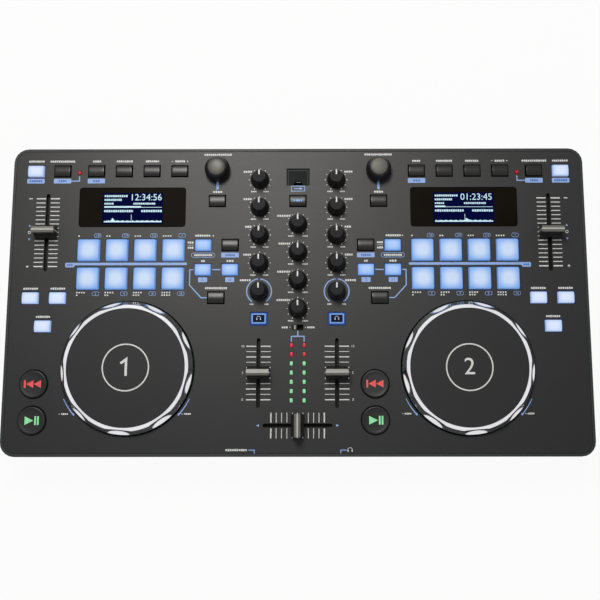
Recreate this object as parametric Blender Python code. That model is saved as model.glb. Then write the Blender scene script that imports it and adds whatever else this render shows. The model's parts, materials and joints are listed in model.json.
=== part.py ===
"""Two-deck DJ controller, built as its separate pieces.

Metres, +Z up, +Y to the back. The origin is under the middle of the case, on the surface it stands on.
The layout is a chain of pieces and the gaps between them, so the case grows or shrinks with what it carries.
Places on the plate are kept for the left deck and mirrored for the right one.
"""
import math

import bmesh
import bpy
from mathutils import Matrix, Vector

# Running and seat clearances
SEAT_GAP = 0.0003
HOLE_GAP = 0.0005
OVERRUN = 0.001

# Case
FOOT_HEIGHT = 0.003
FOOT_RADIUS = 0.009
FOOT_INSET = 0.030
CASE_HEIGHT = 0.045
CASE_WALL = 0.0025
CASE_CORNER_RADIUS = 0.0125
CASE_FILLET = 0.004
CASE_TAPER = 0.008
FILLET_START_SHARE = 0.3
FILLET_INSIDE_SHARE = 0.6
FRONT_CUT_SHARE = 4
RIM_WIDTH = 0.0025
RIM_HEIGHT = 0.006
RIM_CHAMFER = 0.0005
LEDGE_WIDTH = 0.0035
LEDGE_THICKNESS = 0.002
STANDOFF_RADIUS = 0.004
VENT_WIDTH = 0.030
VENT_SLOT = 0.0025
VENT_PITCH = 0.006
VENT_COUNT = 5
VENT_COLUMN_SHARE = 0.25
VENT_ROW_SHARE = -0.25

# Faceplate
PLATE_THICKNESS = 0.0015

# Small keys
KEY_WIDTH = 0.0152
KEY_DEPTH = 0.0112
KEY_RISE = 0.0022
KEY_CROWN = 0.0009
KEY_TRAVEL = 0.0010
FLANGE_WIDTH = 0.0008
FLANGE_THICKNESS = 0.0012
PAIR_GAP = 0.0082
ROW_GAP = 0.0092
MIXER_KEY_WIDTH = 0.0154
MIXER_KEY_DEPTH = 0.0118

# Pads
PAD_SIZE = 0.0203
PAD_CORNER = 0.0016
PAD_RISE = 0.0025
PAD_EDGE = 0.0006
PAD_GAP_X = 0.0042
PAD_GAP_Y = 0.0045
PAD_COLUMNS = 4
PAD_ROWS = 2

# Round keys
ROUND_KEY_HOLE = 0.0250
ROUND_KEY_RISE = 0.0030
ROUND_KEY_CHAMFER = 0.0008
ROUND_KEY_STEM = 0.003
ROUND_KEY_GAP = 0.0054

# Switches and light guides on the board
SWITCH_SIZE = 0.006
SWITCH_HEIGHT = 0.005
STEM_SIZE = 0.0036
LED_HOLE_WIDTH = 0.0030
LED_HOLE_DEPTH = 0.0041
LED_PITCH = 0.00775
LED_COUNT = 7
LED_COLUMN_SPACING = 0.0109
LAMP_RADIUS = 0.0019
LAMP_DROP_SHARE = 0.125

# Knobs
KNOB_BASE_RADIUS = 0.0080
KNOB_TOP_RADIUS = 0.0053
KNOB_HEIGHT = 0.0150
KNOB_LIFT = 0.0010
KNOB_SKIRT = 0.0022
KNOB_GAP = 0.0086
SHAFT_RADIUS = 0.0030
SHAFT_CLEARANCE = 0.0005
POT_WIDTH = 0.0110
POT_HEIGHT = 0.0065
BROWSE_RADIUS = 0.0110
BROWSE_TOP_RADIUS = 0.0070
BROWSE_HEIGHT = 0.0150
BROWSE_WALL_SHARE = 0.40
BROWSE_SHOULDER_SHARE = 0.68
BROWSE_SHOULDER_RADIUS_SHARE = 0.90
BROWSE_DOME_SHARE = 0.90
BROWSE_CROWN_RADIUS_SHARE = 0.5

# Faders
PITCH_TRAVEL = 0.060
LEVEL_TRAVEL = 0.045
SLOT_WIDTH = 0.0032
SLOT_END_SHARE = 0.49
PITCH_SLOT_END = 0.0043
LEVEL_SLOT_END = 0.0070
FADER_CAP_WIDTH = 0.0190
FADER_CAP_LENGTH = 0.0110
FADER_RIDGE_LENGTH = 0.0054
FADER_CAP_HEIGHT = 0.0140
FADER_CAP_LIFT = 0.0020
FADER_RIDGE_DEPTH = 0.0030
FADER_FLARE_SHARE = 0.25
FADER_WAIST_SHARE = 0.48
FADER_WAIST_LENGTH_SHARE = 0.68
FADER_STEM_WIDTH = 0.0012
FADER_STEM_LENGTH = 0.0040
FADER_BODY_WIDTH = 0.0090
FADER_BODY_HEIGHT = 0.0070
FADER_BODY_END = 0.0060
FADER_SCALE_HALF = 0.0104

# Jog wheels
JOG_HOLE_RADIUS = 0.0574
JOG_GAP = 0.0012
JOG_SKIRT = 0.0035
JOG_SKIRT_WALL = 0.0022
JOG_RISE = 0.0097
JOG_LIP_OUTER = 0.0530
JOG_DISC_RADIUS = 0.0500
JOG_DISC_STEP = 0.0004
JOG_DISC_THICKNESS = 0.0030
JOG_SCALLOP_DEPTH = 0.0024
JOG_SCALLOP_COUNT = 9
JOG_SLOPE_START_SHARE = 0.40
JOG_SLOPE_MIDDLE_SHARE = 0.70
JOG_SLOPE_RADIUS_SHARE = 0.50
JOG_LIP_DIP_SHARE = 0.45
JOG_HUB_RADIUS = 0.0120
JOG_HUB_DEPTH = 0.0100
JOG_POST_RADIUS = 0.0050
JOG_POST_TOP = 0.0010
LEFT_SCALLOP_ANGLE = math.radians(105.0)

# Displays
WINDOW_WIDTH = 0.0933
WINDOW_DEPTH = 0.0353
WINDOW_CORNER = 0.0025
WINDOW_SINK = 0.0002
DISPLAY_BODY = 0.0060

# Door over the memory-stick socket, and the socket
DOOR_WIDTH = 0.0196
DOOR_DEPTH = 0.0147
DOOR_NOTCH_RADIUS = 0.0042
DOOR_THICKNESS = 0.0014
DOOR_SINK = 0.0002
DOOR_PIN_RADIUS = 0.0008
STICK_WIDTH = 0.0128
STICK_DEPTH = 0.0052
STICK_WALL = 0.0010
STICK_CAVITY = 0.0085
STICK_SINK = 0.0024
STICK_OFFSET_SHARE = 0.25

# Meter switch
SWITCH_SLOT_WIDTH = 0.0096
SWITCH_SLOT_DEPTH = 0.0049
SWITCH_LEVER_WIDTH = 0.0040
SWITCH_LEVER_RISE = 0.0010
SWITCH_LEVER_TIP_SHARE = 0.8
SWITCH_TRAVEL = 0.0046

# Board
BOARD_THICKNESS = 0.0016
BOARD_DROP = 0.0105
BOARD_MARGIN = 0.0060

# Front and rear connectors
JACK_BORE_RADIUS = 0.0033
JACK_NOSE_RADIUS = 0.0050
JACK_BODY_RADIUS = 0.0085
JACK_BODY_LENGTH = 0.0200
JACK_BORE_LENGTH = 0.0170
JACK_NOSE_LENGTH = 0.0055
FRONT_CONTROL_HEIGHT = 0.0150
FRONT_CONTROL_X = 0.0362
FRONT_CONTROL_SPACING = 0.0240
FRONT_KNOB_RADIUS = 0.0055
FRONT_KNOB_LENGTH = 0.0032
FRONT_SHAFT_LENGTH = 0.0060
FRONT_KNOB_TIP_SHARE = 0.9
FRONT_KNOB_BEVEL_SHARE = 0.2
BLOCK_WIDTH = 0.0780
BLOCK_HEIGHT = 0.0200
BLOCK_DEPTH = 0.0180
BLOCK_RECESS = 0.0100
PHONO_RADIUS = 0.0042
PHONO_BORE_RADIUS = 0.0017
PHONO_LENGTH = 0.0080
PHONO_SPACING = 0.0140
PHONO_COUNT = 4
HOST_WIDTH = 0.0086
HOST_HEIGHT = 0.0080
HOST_CAVITY = 0.0120
HOST_MARGIN = 0.0060

# Chains of gaps across the width, from the middle outwards
CHANNEL_X = 0.0334
CHANNEL_TO_ROUND_KEY = 0.0093
ROUND_KEY_TO_JOG = 0.0092
PADS_TO_LOOP_KEYS = 0.0080
PADS_TO_MODE_KEYS = 0.0073
KEYS_TO_SIDE = 0.0123
TRACK_ROW_SHIFT = 0.0041

# Chains of gaps from front to back
FRONT_TO_JOG = 0.0166
JOG_TO_PADS = 0.0091
PADS_TO_WINDOW = 0.0102
WINDOW_TO_KEYS = 0.0091
KEYS_TO_BACK = 0.0146
FRONT_TO_PLAY = 0.0176
CUE_TO_REVERSE = 0.0080
MODE_ROW_GAP = 0.0131
MODE_TO_PITCH = 0.0175
PITCH_TO_KEYS = 0.0147
FRONT_TO_CROSSFADER = 0.0163
CROSSFADER_TO_SLOT = 0.0049
SLOT_TO_CUE_KEY = 0.0106
CUE_KEY_TO_FILTER = 0.0095
GAIN_TO_BACK = 0.0202
DOOR_TO_BACK = 0.0183
DOOR_TO_MIDI = 0.0086
MIDI_TO_KNOB = 0.0069
METER_TO_SWITCH = 0.0126
SWITCH_TO_KNOB = 0.0058
BROWSE_TO_BACK = 0.0085
BROWSE_TO_BACK_KEY = 0.0110
LOOP_ROW_LIFT = 0.0076
LOOP_ROW_GAP = 0.0103
RELOOP_GAP = 0.0132
CHANNEL_KNOB_COUNT = 5
CENTRE_KNOB_COUNT = 4
TRACK_KEY_COUNT = 4

# Smoothness
ARC_STEPS = 5
SMALL_ARC_STEPS = 2
PAD_ARC_STEPS = 1
POST_SEGMENTS = 8
JOG_SEGMENTS_PER_SCALLOP = 8
KNOB_SEGMENTS = 16
HOLE_SEGMENTS = 12
ROUND_KEY_SEGMENTS = 24
JACK_SEGMENTS = 16
CROWN_STEPS = 4
SMOOTH_ANGLE = math.radians(35.0)

# Places across the width
PAD_PITCH_X = PAD_SIZE + PAD_GAP_X
PAD_PITCH_Y = PAD_SIZE + PAD_GAP_Y
PAD_BLOCK_WIDTH = PAD_COLUMNS * PAD_PITCH_X - PAD_GAP_X
PAD_BLOCK_DEPTH = PAD_ROWS * PAD_PITCH_Y - PAD_GAP_Y
PAIR_OFFSET = (KEY_WIDTH + PAIR_GAP) / 2
PAIR_HALF = PAIR_OFFSET + KEY_WIDTH / 2
TRACK_PITCH = KEY_WIDTH + ROW_GAP
CHANNEL_HALF = max(FADER_SCALE_HALF, FADER_CAP_WIDTH / 2, KNOB_BASE_RADIUS)
ROUND_KEY_OFFSET = JOG_HOLE_RADIUS + ROUND_KEY_TO_JOG + ROUND_KEY_HOLE / 2
JOG_SIDE = CHANNEL_X + CHANNEL_HALF + CHANNEL_TO_ROUND_KEY + ROUND_KEY_HOLE / 2 + ROUND_KEY_OFFSET
DECK_HALF = max(PAD_BLOCK_WIDTH, WINDOW_WIDTH) / 2
PAD_SIDE = CHANNEL_X + KNOB_BASE_RADIUS + PADS_TO_LOOP_KEYS + 2 * PAIR_HALF + DECK_HALF
DECK_X = max(JOG_SIDE, PAD_SIDE)
LOOP_X = DECK_X - DECK_HALF - PADS_TO_LOOP_KEYS - PAIR_HALF
OUTER_X = DECK_X + max(DECK_HALF, JOG_HOLE_RADIUS + ROUND_KEY_TO_JOG - PAIR_HALF) + PADS_TO_MODE_KEYS + PAIR_HALF
CASE_WIDTH = 2 * (OUTER_X + PAIR_HALF + KEYS_TO_SIDE)

# Depth of the case: the longest of the three chains
KNOB_PITCH = 2 * KNOB_BASE_RADIUS + KNOB_GAP
PITCH_SLOT_LENGTH = PITCH_TRAVEL + 2 * PITCH_SLOT_END
LEVEL_SLOT_LENGTH = LEVEL_TRAVEL + 2 * LEVEL_SLOT_END
DECK_CHAIN = (FRONT_TO_JOG + 2 * JOG_HOLE_RADIUS + JOG_TO_PADS + PAD_BLOCK_DEPTH + PADS_TO_WINDOW
              + WINDOW_DEPTH + WINDOW_TO_KEYS + KEY_DEPTH + KEYS_TO_BACK)
MIXER_CHAIN = (FRONT_TO_CROSSFADER + FADER_CAP_WIDTH + CROSSFADER_TO_SLOT + LEVEL_SLOT_LENGTH + SLOT_TO_CUE_KEY
               + MIXER_KEY_DEPTH + CUE_KEY_TO_FILTER + CHANNEL_KNOB_COUNT * KNOB_PITCH - KNOB_GAP + GAIN_TO_BACK)
OUTER_CHAIN = (FRONT_TO_PLAY + 2 * ROUND_KEY_HOLE + ROUND_KEY_GAP + CUE_TO_REVERSE + KEY_DEPTH + MODE_ROW_GAP
               + KEY_DEPTH + MODE_TO_PITCH + PITCH_SLOT_LENGTH + PITCH_TO_KEYS + KEY_DEPTH + KEYS_TO_BACK)
CASE_DEPTH = max(DECK_CHAIN, MIXER_CHAIN, OUTER_CHAIN)
FRONT = -CASE_DEPTH / 2
BACK = CASE_DEPTH / 2

# Places from front to back
JOG_Y = FRONT + FRONT_TO_JOG + JOG_HOLE_RADIUS
PAD_LOW_Y = JOG_Y + JOG_HOLE_RADIUS + JOG_TO_PADS + PAD_SIZE / 2
PAD_MIDDLE_Y = PAD_LOW_Y + PAD_PITCH_Y / 2
WINDOW_Y = PAD_LOW_Y + PAD_BLOCK_DEPTH - PAD_SIZE / 2 + PADS_TO_WINDOW + WINDOW_DEPTH / 2
KEY_ROW_Y = BACK - KEYS_TO_BACK - KEY_DEPTH / 2
PITCH_Y = KEY_ROW_Y - KEY_DEPTH / 2 - PITCH_TO_KEYS - PITCH_SLOT_LENGTH / 2
MODE_Y = PITCH_Y - PITCH_SLOT_LENGTH / 2 - MODE_TO_PITCH - KEY_DEPTH / 2
REVERSE_Y = MODE_Y - KEY_DEPTH - MODE_ROW_GAP
PLAY_Y = FRONT + FRONT_TO_PLAY + ROUND_KEY_HOLE / 2
CUE_Y = PLAY_Y + ROUND_KEY_HOLE + ROUND_KEY_GAP
BROWSE_Y = BACK - BROWSE_TO_BACK - BROWSE_RADIUS
BACK_KEY_Y = BROWSE_Y - BROWSE_RADIUS - BROWSE_TO_BACK_KEY - KEY_DEPTH / 2
IN_Y = PAD_LOW_Y + LOOP_ROW_LIFT
HOT_CUE_Y = IN_Y + KEY_DEPTH + LOOP_ROW_GAP
RELOOP_Y = IN_Y - KEY_DEPTH - RELOOP_GAP
GAIN_Y = BACK - GAIN_TO_BACK - KNOB_BASE_RADIUS
CROSSFADER_Y = FRONT + FRONT_TO_CROSSFADER + FADER_CAP_WIDTH / 2
LEVEL_Y = CROSSFADER_Y + FADER_CAP_WIDTH / 2 + CROSSFADER_TO_SLOT + LEVEL_SLOT_LENGTH / 2
MIXER_KEY_Y = LEVEL_Y + LEVEL_SLOT_LENGTH / 2 + SLOT_TO_CUE_KEY + MIXER_KEY_DEPTH / 2
DOOR_Y = BACK - DOOR_TO_BACK - DOOR_DEPTH / 2
MIDI_Y = DOOR_Y - DOOR_DEPTH / 2 - DOOR_TO_MIDI - KEY_DEPTH / 2
MASTER_Y = MIDI_Y - KEY_DEPTH / 2 - MIDI_TO_KNOB - KNOB_BASE_RADIUS
SWITCH_Y = MASTER_Y - (CENTRE_KNOB_COUNT - 1) * KNOB_PITCH - KNOB_BASE_RADIUS - SWITCH_TO_KNOB - SWITCH_SLOT_DEPTH / 2
METER_TOP_Y = SWITCH_Y - SWITCH_SLOT_DEPTH / 2 - METER_TO_SWITCH

# Heights
PLATE_TOP = FOOT_HEIGHT + CASE_HEIGHT
PLATE_UNDER = PLATE_TOP - PLATE_THICKNESS
FLANGE_TOP = PLATE_UNDER - SEAT_GAP
FLANGE_UNDER = FLANGE_TOP - FLANGE_THICKNESS
BOARD_TOP = PLATE_UNDER - BOARD_DROP
BOARD_UNDER = BOARD_TOP - BOARD_THICKNESS
SWITCH_TOP = BOARD_TOP + SWITCH_HEIGHT
KEY_STEM_END = SWITCH_TOP + KEY_TRAVEL + SEAT_GAP
POT_TOP = BOARD_TOP + POT_HEIGHT
FADER_BODY_TOP = BOARD_TOP + FADER_BODY_HEIGHT
CASE_FLOOR = FOOT_HEIGHT + CASE_WALL
FRONT_CONTROL_Z = FOOT_HEIGHT + FRONT_CONTROL_HEIGHT
BLOCK_LOW = BOARD_UNDER - SEAT_GAP - BLOCK_HEIGHT

# Places as tables of shares: columns of pads and keys counted from a row's middle, in pitches
PAD_COLUMN_SHARES = [column - (PAD_COLUMNS - 1) / 2 for column in range(PAD_COLUMNS)]
PAD_ROW_SHARES = [row - (PAD_ROWS - 1) / 2 for row in range(PAD_ROWS)]
TRACK_COLUMN_SHARES = [column - (TRACK_KEY_COUNT - 1) / 2 for column in range(TRACK_KEY_COUNT)]
CHANNEL_KNOBS = ("gain_knob", "high_knob", "mid_knob", "low_knob", "filter_knob")
CENTRE_KNOBS = ("master_knob", "booth_knob", "cue_volume_knob", "cue_mix_knob")
STANDOFF_COLUMN_SHARES = (-0.92, -0.45, 0.45, 0.92)
STANDOFF_ROW_SHARES = (-0.90, 0.90)

COLOURS = {
    "plate": ((0.060, 0.062, 0.062), 0.45, 0.6),
    "case": ((0.035, 0.038, 0.038), 0.55, 0.0),
    "board": ((0.010, 0.075, 0.035), 0.50, 0.0),
    "black": ((0.015, 0.015, 0.016), 0.45, 0.0),
    "key": ((0.060, 0.060, 0.056), 0.40, 0.0),
    "lit": ((0.450, 0.640, 0.980), 0.35, 0.0),
    "chrome": ((0.700, 0.700, 0.710), 0.12, 1.0),
    "metal": ((0.420, 0.420, 0.420), 0.30, 1.0),
    "screen": ((0.012, 0.011, 0.009), 0.10, 0.0),
    "dark_key": ((0.030, 0.030, 0.032), 0.35, 0.0),
}


def clear_scene():
    for scene_object in list(bpy.data.objects):
        bpy.data.objects.remove(scene_object, do_unlink=True)


def finish_material(target, colour_name):
    """Give a piece its own Principled material."""
    colour, roughness, metallic = COLOURS[colour_name]
    material = bpy.data.materials.new(target.name)
    material.use_nodes = True
    shader = material.node_tree.nodes["Principled BSDF"]
    shader.inputs["Base Color"].default_value = (*colour, 1.0)
    shader.inputs["Roughness"].default_value = roughness
    shader.inputs["Metallic"].default_value = metallic
    material.diffuse_color = (*colour, 1.0)
    target.data.materials.append(material)


def add_object(name, data, place=(0, 0, 0)):
    new_object = bpy.data.objects.new(name, data)
    new_object.location = place
    bpy.context.scene.collection.objects.link(new_object)
    return new_object


def mesh_object(name, mesh_maker, colour_name, place=(0, 0, 0)):
    """Turn a bmesh into a named piece whose origin is at place."""
    bmesh.ops.recalc_face_normals(mesh_maker, faces=mesh_maker.faces)
    mesh = bpy.data.meshes.new(name)
    mesh_maker.to_mesh(mesh)
    mesh_maker.free()
    mesh.shade_smooth()
    mesh.set_sharp_from_angle(angle=SMOOTH_ANGLE)
    piece = add_object(name, mesh, place)
    if colour_name:
        finish_material(piece, colour_name)
    return piece


def combine(piece, helper, operation):
    """Cut or join a helper shape with a piece, and leave the helper out of the model."""
    modifier = piece.modifiers.new(helper.name, "BOOLEAN")
    modifier.operation = operation
    modifier.solver = "EXACT"
    modifier.object = helper
    helper.hide_render = True
    helper.display_type = "WIRE"


def add_box(mesh_maker, low, high):
    """Add a closed box between two corners."""
    size = [high[axis] - low[axis] for axis in range(3)]
    middle = [(high[axis] + low[axis]) / 2 for axis in range(3)]
    bmesh.ops.create_cube(mesh_maker, size=1.0, matrix=Matrix.Translation(middle) @ Matrix.Diagonal((*size, 1.0)))


def add_round(mesh_maker, radius, low, high, centre=(0, 0), segments=HOLE_SEGMENTS):
    """Add a closed upright cylinder between two heights."""
    middle = Matrix.Translation((centre[0], centre[1], (low + high) / 2))
    bmesh.ops.create_cone(mesh_maker, cap_ends=True, segments=segments, radius1=radius, radius2=radius,
                          depth=high - low, matrix=middle)


def add_rings(mesh_maker, rings):
    """Skin rings of equal count; a first or last ring of one point closes to that point, others are capped."""
    made = [[mesh_maker.verts.new(point) for point in ring] for ring in rings]
    for lower, upper in zip(made, made[1:]):
        count = max(len(lower), len(upper))
        for index in range(count):
            after = (index + 1) % count
            if len(lower) == 1:
                mesh_maker.faces.new((lower[0], upper[after], upper[index]))
            elif len(upper) == 1:
                mesh_maker.faces.new((lower[index], lower[after], upper[0]))
            else:
                mesh_maker.faces.new((lower[index], lower[after], upper[after], upper[index]))
    for end in (made[0], made[-1]):
        if len(end) > 1:
            mesh_maker.faces.new(end)


def circle_ring(radius, height, segments, centre=(0, 0)):
    if radius == 0:
        return [(centre[0], centre[1], height)]
    turns = [math.tau * index / segments for index in range(segments)]
    return [(centre[0] + radius * math.cos(turn), centre[1] + radius * math.sin(turn), height) for turn in turns]


def turned(name, profile, segments, colour_name, place=(0, 0, 0)):
    """A turned piece from (radius, height) pairs, lowest first."""
    mesh_maker = bmesh.new()
    add_rings(mesh_maker, [circle_ring(radius, height, segments) for radius, height in profile])
    return mesh_object(name, mesh_maker, colour_name, place)


def rounded_rectangle(width, depth, radius, steps, centre=(0, 0)):
    """Points of a rectangle with round corners, anticlockwise."""
    points = []
    corners = ((1, 1, 0.0), (-1, 1, 0.25), (-1, -1, 0.5), (1, -1, 0.75))
    for side_x, side_y, start_share in corners:
        middle_x = centre[0] + side_x * (width / 2 - radius)
        middle_y = centre[1] + side_y * (depth / 2 - radius)
        for step in range(steps + 1):
            turn = math.tau * (start_share + 0.25 * step / steps)
            points.append((middle_x + radius * math.cos(turn), middle_y + radius * math.sin(turn)))
    return points


def rectangle(width, depth, centre=(0, 0)):
    half_width, half_depth = width / 2, depth / 2
    signs = ((1, 1), (-1, 1), (-1, -1), (1, -1))
    return [(centre[0] + sign_x * half_width, centre[1] + sign_y * half_depth) for sign_x, sign_y in signs]


def circle_points(radius, segments, centre=(0, 0)):
    return [(point[0], point[1]) for point in circle_ring(radius, 0, segments, centre)]


def mirrored(points):
    return [(-x, y) for x, y in points]


def deck_sides():
    """Names and signs of the two decks."""
    return (("left", -1), ("right", 1))


def round_key_x(side):
    """Both decks have their round keys on the left of the jog wheel."""
    return side * DECK_X - ROUND_KEY_OFFSET


def key_places():
    """Every small key group of one deck: name, colour and the key middles, at positive X."""
    track_middle = DECK_X - TRACK_ROW_SHIFT
    track_keys = [(track_middle + share * TRACK_PITCH, KEY_ROW_Y) for share in TRACK_COLUMN_SHARES]
    return (
        ("key_lock_key", "lit", [(OUTER_X + PAIR_OFFSET, KEY_ROW_Y)]),
        ("bpm_tap_key", "key", [(OUTER_X - PAIR_OFFSET, KEY_ROW_Y)]),
        ("track_keys", "key", track_keys),
        ("back_key", "key", [(LOOP_X, BACK_KEY_Y)]),
        ("hot_cue_key", "lit", [(LOOP_X + PAIR_OFFSET, HOT_CUE_Y)]),
        ("shift_key", "key", [(LOOP_X - PAIR_OFFSET, HOT_CUE_Y)]),
        ("loop_keys", "lit", [(LOOP_X + PAIR_OFFSET, IN_Y), (LOOP_X - PAIR_OFFSET, IN_Y), (LOOP_X, RELOOP_Y)]),
        ("mode_keys", "lit", [(OUTER_X + PAIR_OFFSET, MODE_Y), (OUTER_X - PAIR_OFFSET, MODE_Y),
                              (OUTER_X, REVERSE_Y)]),
    )


def pad_places():
    return [(DECK_X + column * PAD_PITCH_X, PAD_MIDDLE_Y + row * PAD_PITCH_Y)
            for row in PAD_ROW_SHARES for column in PAD_COLUMN_SHARES]


def channel_knob_places():
    return [(CHANNEL_X, GAIN_Y - index * KNOB_PITCH) for index in range(CHANNEL_KNOB_COUNT)]


def centre_knob_places():
    return [(0, MASTER_Y - index * KNOB_PITCH) for index in range(CENTRE_KNOB_COUNT)]


def meter_places():
    return [(side * LED_COLUMN_SPACING / 2, METER_TOP_Y - index * LED_PITCH)
            for side in (-1, 1) for index in range(LED_COUNT)]


def lamp_place():
    """The round lamp between the tap key and the track keys."""
    outer_edge = OUTER_X - PAIR_HALF
    inner_edge = DECK_X - TRACK_ROW_SHIFT + (TRACK_KEY_COUNT - 1) / 2 * TRACK_PITCH + KEY_WIDTH / 2
    return ((outer_edge + inner_edge) / 2, KEY_ROW_Y - KEY_DEPTH * LAMP_DROP_SHARE)


def fader_slots():
    """Middle, length and direction of each slot: the pitch, channel and cross faders."""
    slots = []
    for _, side in deck_sides():
        slots.append((side * OUTER_X, PITCH_Y, PITCH_SLOT_LENGTH, "y"))
        slots.append((side * CHANNEL_X, LEVEL_Y, LEVEL_SLOT_LENGTH, "y"))
    slots.append((0, CROSSFADER_Y, LEVEL_SLOT_LENGTH, "x"))
    return slots


def slot_outline(slot):
    x, y, length, direction = slot
    size = (SLOT_WIDTH, length) if direction == "y" else (length, SLOT_WIDTH)
    return rounded_rectangle(size[0], size[1], SLOT_WIDTH * SLOT_END_SHARE, SMALL_ARC_STEPS, (x, y))


def door_outline(gap):
    """The door's outline from above, or its hole's with a positive gap: straight back, notched front."""
    half_width = DOOR_WIDTH / 2 + gap
    back = DOOR_Y + DOOR_DEPTH / 2 + gap
    front = DOOR_Y - DOOR_DEPTH / 2 - gap
    return [(half_width, back), (-half_width, back), (-half_width, front), (half_width, front)]


def plate_holes():
    """Every hole in the faceplate as a closed outline."""
    one_deck = [circle_points(JOG_HOLE_RADIUS, JOG_SEGMENTS_PER_SCALLOP * JOG_SCALLOP_COUNT, (DECK_X, JOG_Y))]
    one_deck.append(rounded_rectangle(WINDOW_WIDTH, WINDOW_DEPTH, WINDOW_CORNER, SMALL_ARC_STEPS, (DECK_X, WINDOW_Y)))
    one_deck += [rounded_rectangle(PAD_SIZE, PAD_SIZE, PAD_CORNER, PAD_ARC_STEPS, place) for place in pad_places()]
    one_deck += [rectangle(KEY_WIDTH, KEY_DEPTH, place) for _, _, group in key_places() for place in group]
    one_deck.append(rectangle(MIXER_KEY_WIDTH, MIXER_KEY_DEPTH, (CHANNEL_X, MIXER_KEY_Y)))
    shaft_hole = SHAFT_RADIUS + SHAFT_CLEARANCE
    knob_places = channel_knob_places() + [(LOOP_X, BROWSE_Y)]
    one_deck += [circle_points(shaft_hole, HOLE_SEGMENTS, place) for place in knob_places]
    one_deck.append(circle_points(LAMP_RADIUS + SEAT_GAP, HOLE_SEGMENTS, lamp_place()))
    holes = one_deck + [mirrored(outline) for outline in one_deck]
    for _, side in deck_sides():
        for height in (CUE_Y, PLAY_Y):
            holes.append(circle_points(ROUND_KEY_HOLE / 2, ROUND_KEY_SEGMENTS, (round_key_x(side), height)))
    holes += [circle_points(shaft_hole, HOLE_SEGMENTS, place) for place in centre_knob_places()]
    holes += [slot_outline(slot) for slot in fader_slots()]
    holes += [rectangle(LED_HOLE_WIDTH, LED_HOLE_DEPTH, place) for place in meter_places()]
    holes.append(rectangle(SWITCH_SLOT_WIDTH, SWITCH_SLOT_DEPTH, (0, SWITCH_Y)))
    holes.append(rectangle(KEY_WIDTH, KEY_DEPTH, (0, MIDI_Y)))
    holes.append(door_outline(SEAT_GAP))
    return holes


def make_faceplate():
    """One flat sheet: an outline with all its holes, extruded by the plate's thickness."""
    inset = RIM_WIDTH + SEAT_GAP
    outline = rounded_rectangle(CASE_WIDTH - 2 * inset, CASE_DEPTH - 2 * inset, CASE_CORNER_RADIUS - inset, ARC_STEPS)
    curve = bpy.data.curves.new("faceplate", "CURVE")
    curve.dimensions = "2D"
    curve.fill_mode = "BOTH"
    curve.extrude = PLATE_THICKNESS / 2
    for points in [outline] + plate_holes():
        spline = curve.splines.new("POLY")
        spline.points.add(len(points) - 1)
        for point, (x, y) in zip(spline.points, points):
            point.co = (x, y, 0, 1)
        spline.use_cyclic_u = True
    plate = add_object("faceplate", curve, (0, 0, PLATE_TOP - PLATE_THICKNESS / 2))
    finish_material(plate, "plate")


def case_ring(inset, height):
    """One ring of the case at a height, drawn in from the full outline."""
    radius = max(CASE_CORNER_RADIUS - inset, CASE_WALL / 2)
    outline = rounded_rectangle(CASE_WIDTH - 2 * inset, CASE_DEPTH - 2 * inset, radius, ARC_STEPS)
    return [(x, y, height) for x, y in outline]


def taper_inset(height):
    """How far the sloped wall stands in from the full outline at a height."""
    slope_top = PLATE_TOP - RIM_HEIGHT
    return CASE_TAPER * (slope_top - height) / (slope_top - FOOT_HEIGHT)


def cut_front_holes(case):
    """Round holes through the front wall for the jacks and the microphone volume's shaft."""
    mesh_maker = bmesh.new()
    inner_radius = JACK_NOSE_RADIUS + SEAT_GAP
    shaft_radius = SHAFT_RADIUS + SHAFT_CLEARANCE
    places = ((-FRONT_CONTROL_X - FRONT_CONTROL_SPACING, inner_radius), (-FRONT_CONTROL_X, shaft_radius),
              (FRONT_CONTROL_X, inner_radius))
    for x, radius in places:
        place = Matrix.Translation((x, FRONT, FRONT_CONTROL_Z)) @ Matrix.Rotation(math.pi / 2, 4, "X")
        bmesh.ops.create_cone(mesh_maker, cap_ends=True, segments=JACK_SEGMENTS, radius1=radius, radius2=radius,
                              depth=FRONT_CUT_SHARE * CASE_TAPER, matrix=place)
    combine(case, mesh_object("front_hole_cutter", mesh_maker, None), "DIFFERENCE")


def cut_rear_opening(case):
    """The rear opening that shows the jack block, and the vent slots in the floor."""
    mesh_maker = bmesh.new()
    add_box(mesh_maker, (-BLOCK_WIDTH / 2 - SEAT_GAP, BACK - BLOCK_RECESS - CASE_WALL, BLOCK_LOW - SEAT_GAP),
            (BLOCK_WIDTH / 2 + SEAT_GAP, BACK + OVERRUN, BLOCK_LOW + BLOCK_HEIGHT + SEAT_GAP))
    for index in range(VENT_COUNT):
        middle_y = VENT_ROW_SHARE * CASE_DEPTH + (index - (VENT_COUNT - 1) / 2) * VENT_PITCH
        for side in (-1, 1):
            middle_x = side * VENT_COLUMN_SHARE * CASE_WIDTH
            add_box(mesh_maker, (middle_x - VENT_WIDTH / 2, middle_y - VENT_SLOT / 2, FOOT_HEIGHT - OVERRUN),
                    (middle_x + VENT_WIDTH / 2, middle_y + VENT_SLOT / 2, CASE_FLOOR + OVERRUN))
    combine(case, mesh_object("rear_opening_cutter", mesh_maker, None), "DIFFERENCE")


def add_case_posts(case):
    """Feet under the floor and stand-offs up to the board."""
    mesh_maker = bmesh.new()
    for side_x in (-1, 1):
        for side_y in (-1, 1):
            place = (side_x * (CASE_WIDTH / 2 - FOOT_INSET), side_y * (CASE_DEPTH / 2 - FOOT_INSET))
            add_round(mesh_maker, FOOT_RADIUS, 0, FOOT_HEIGHT + CASE_WALL / 2, place)
    for place in standoff_places():
        add_round(mesh_maker, STANDOFF_RADIUS, FOOT_HEIGHT + CASE_WALL / 2, BOARD_UNDER - SEAT_GAP, place,
                  POST_SEGMENTS)
    combine(case, mesh_object("case_posts", mesh_maker, None), "UNION")


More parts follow.
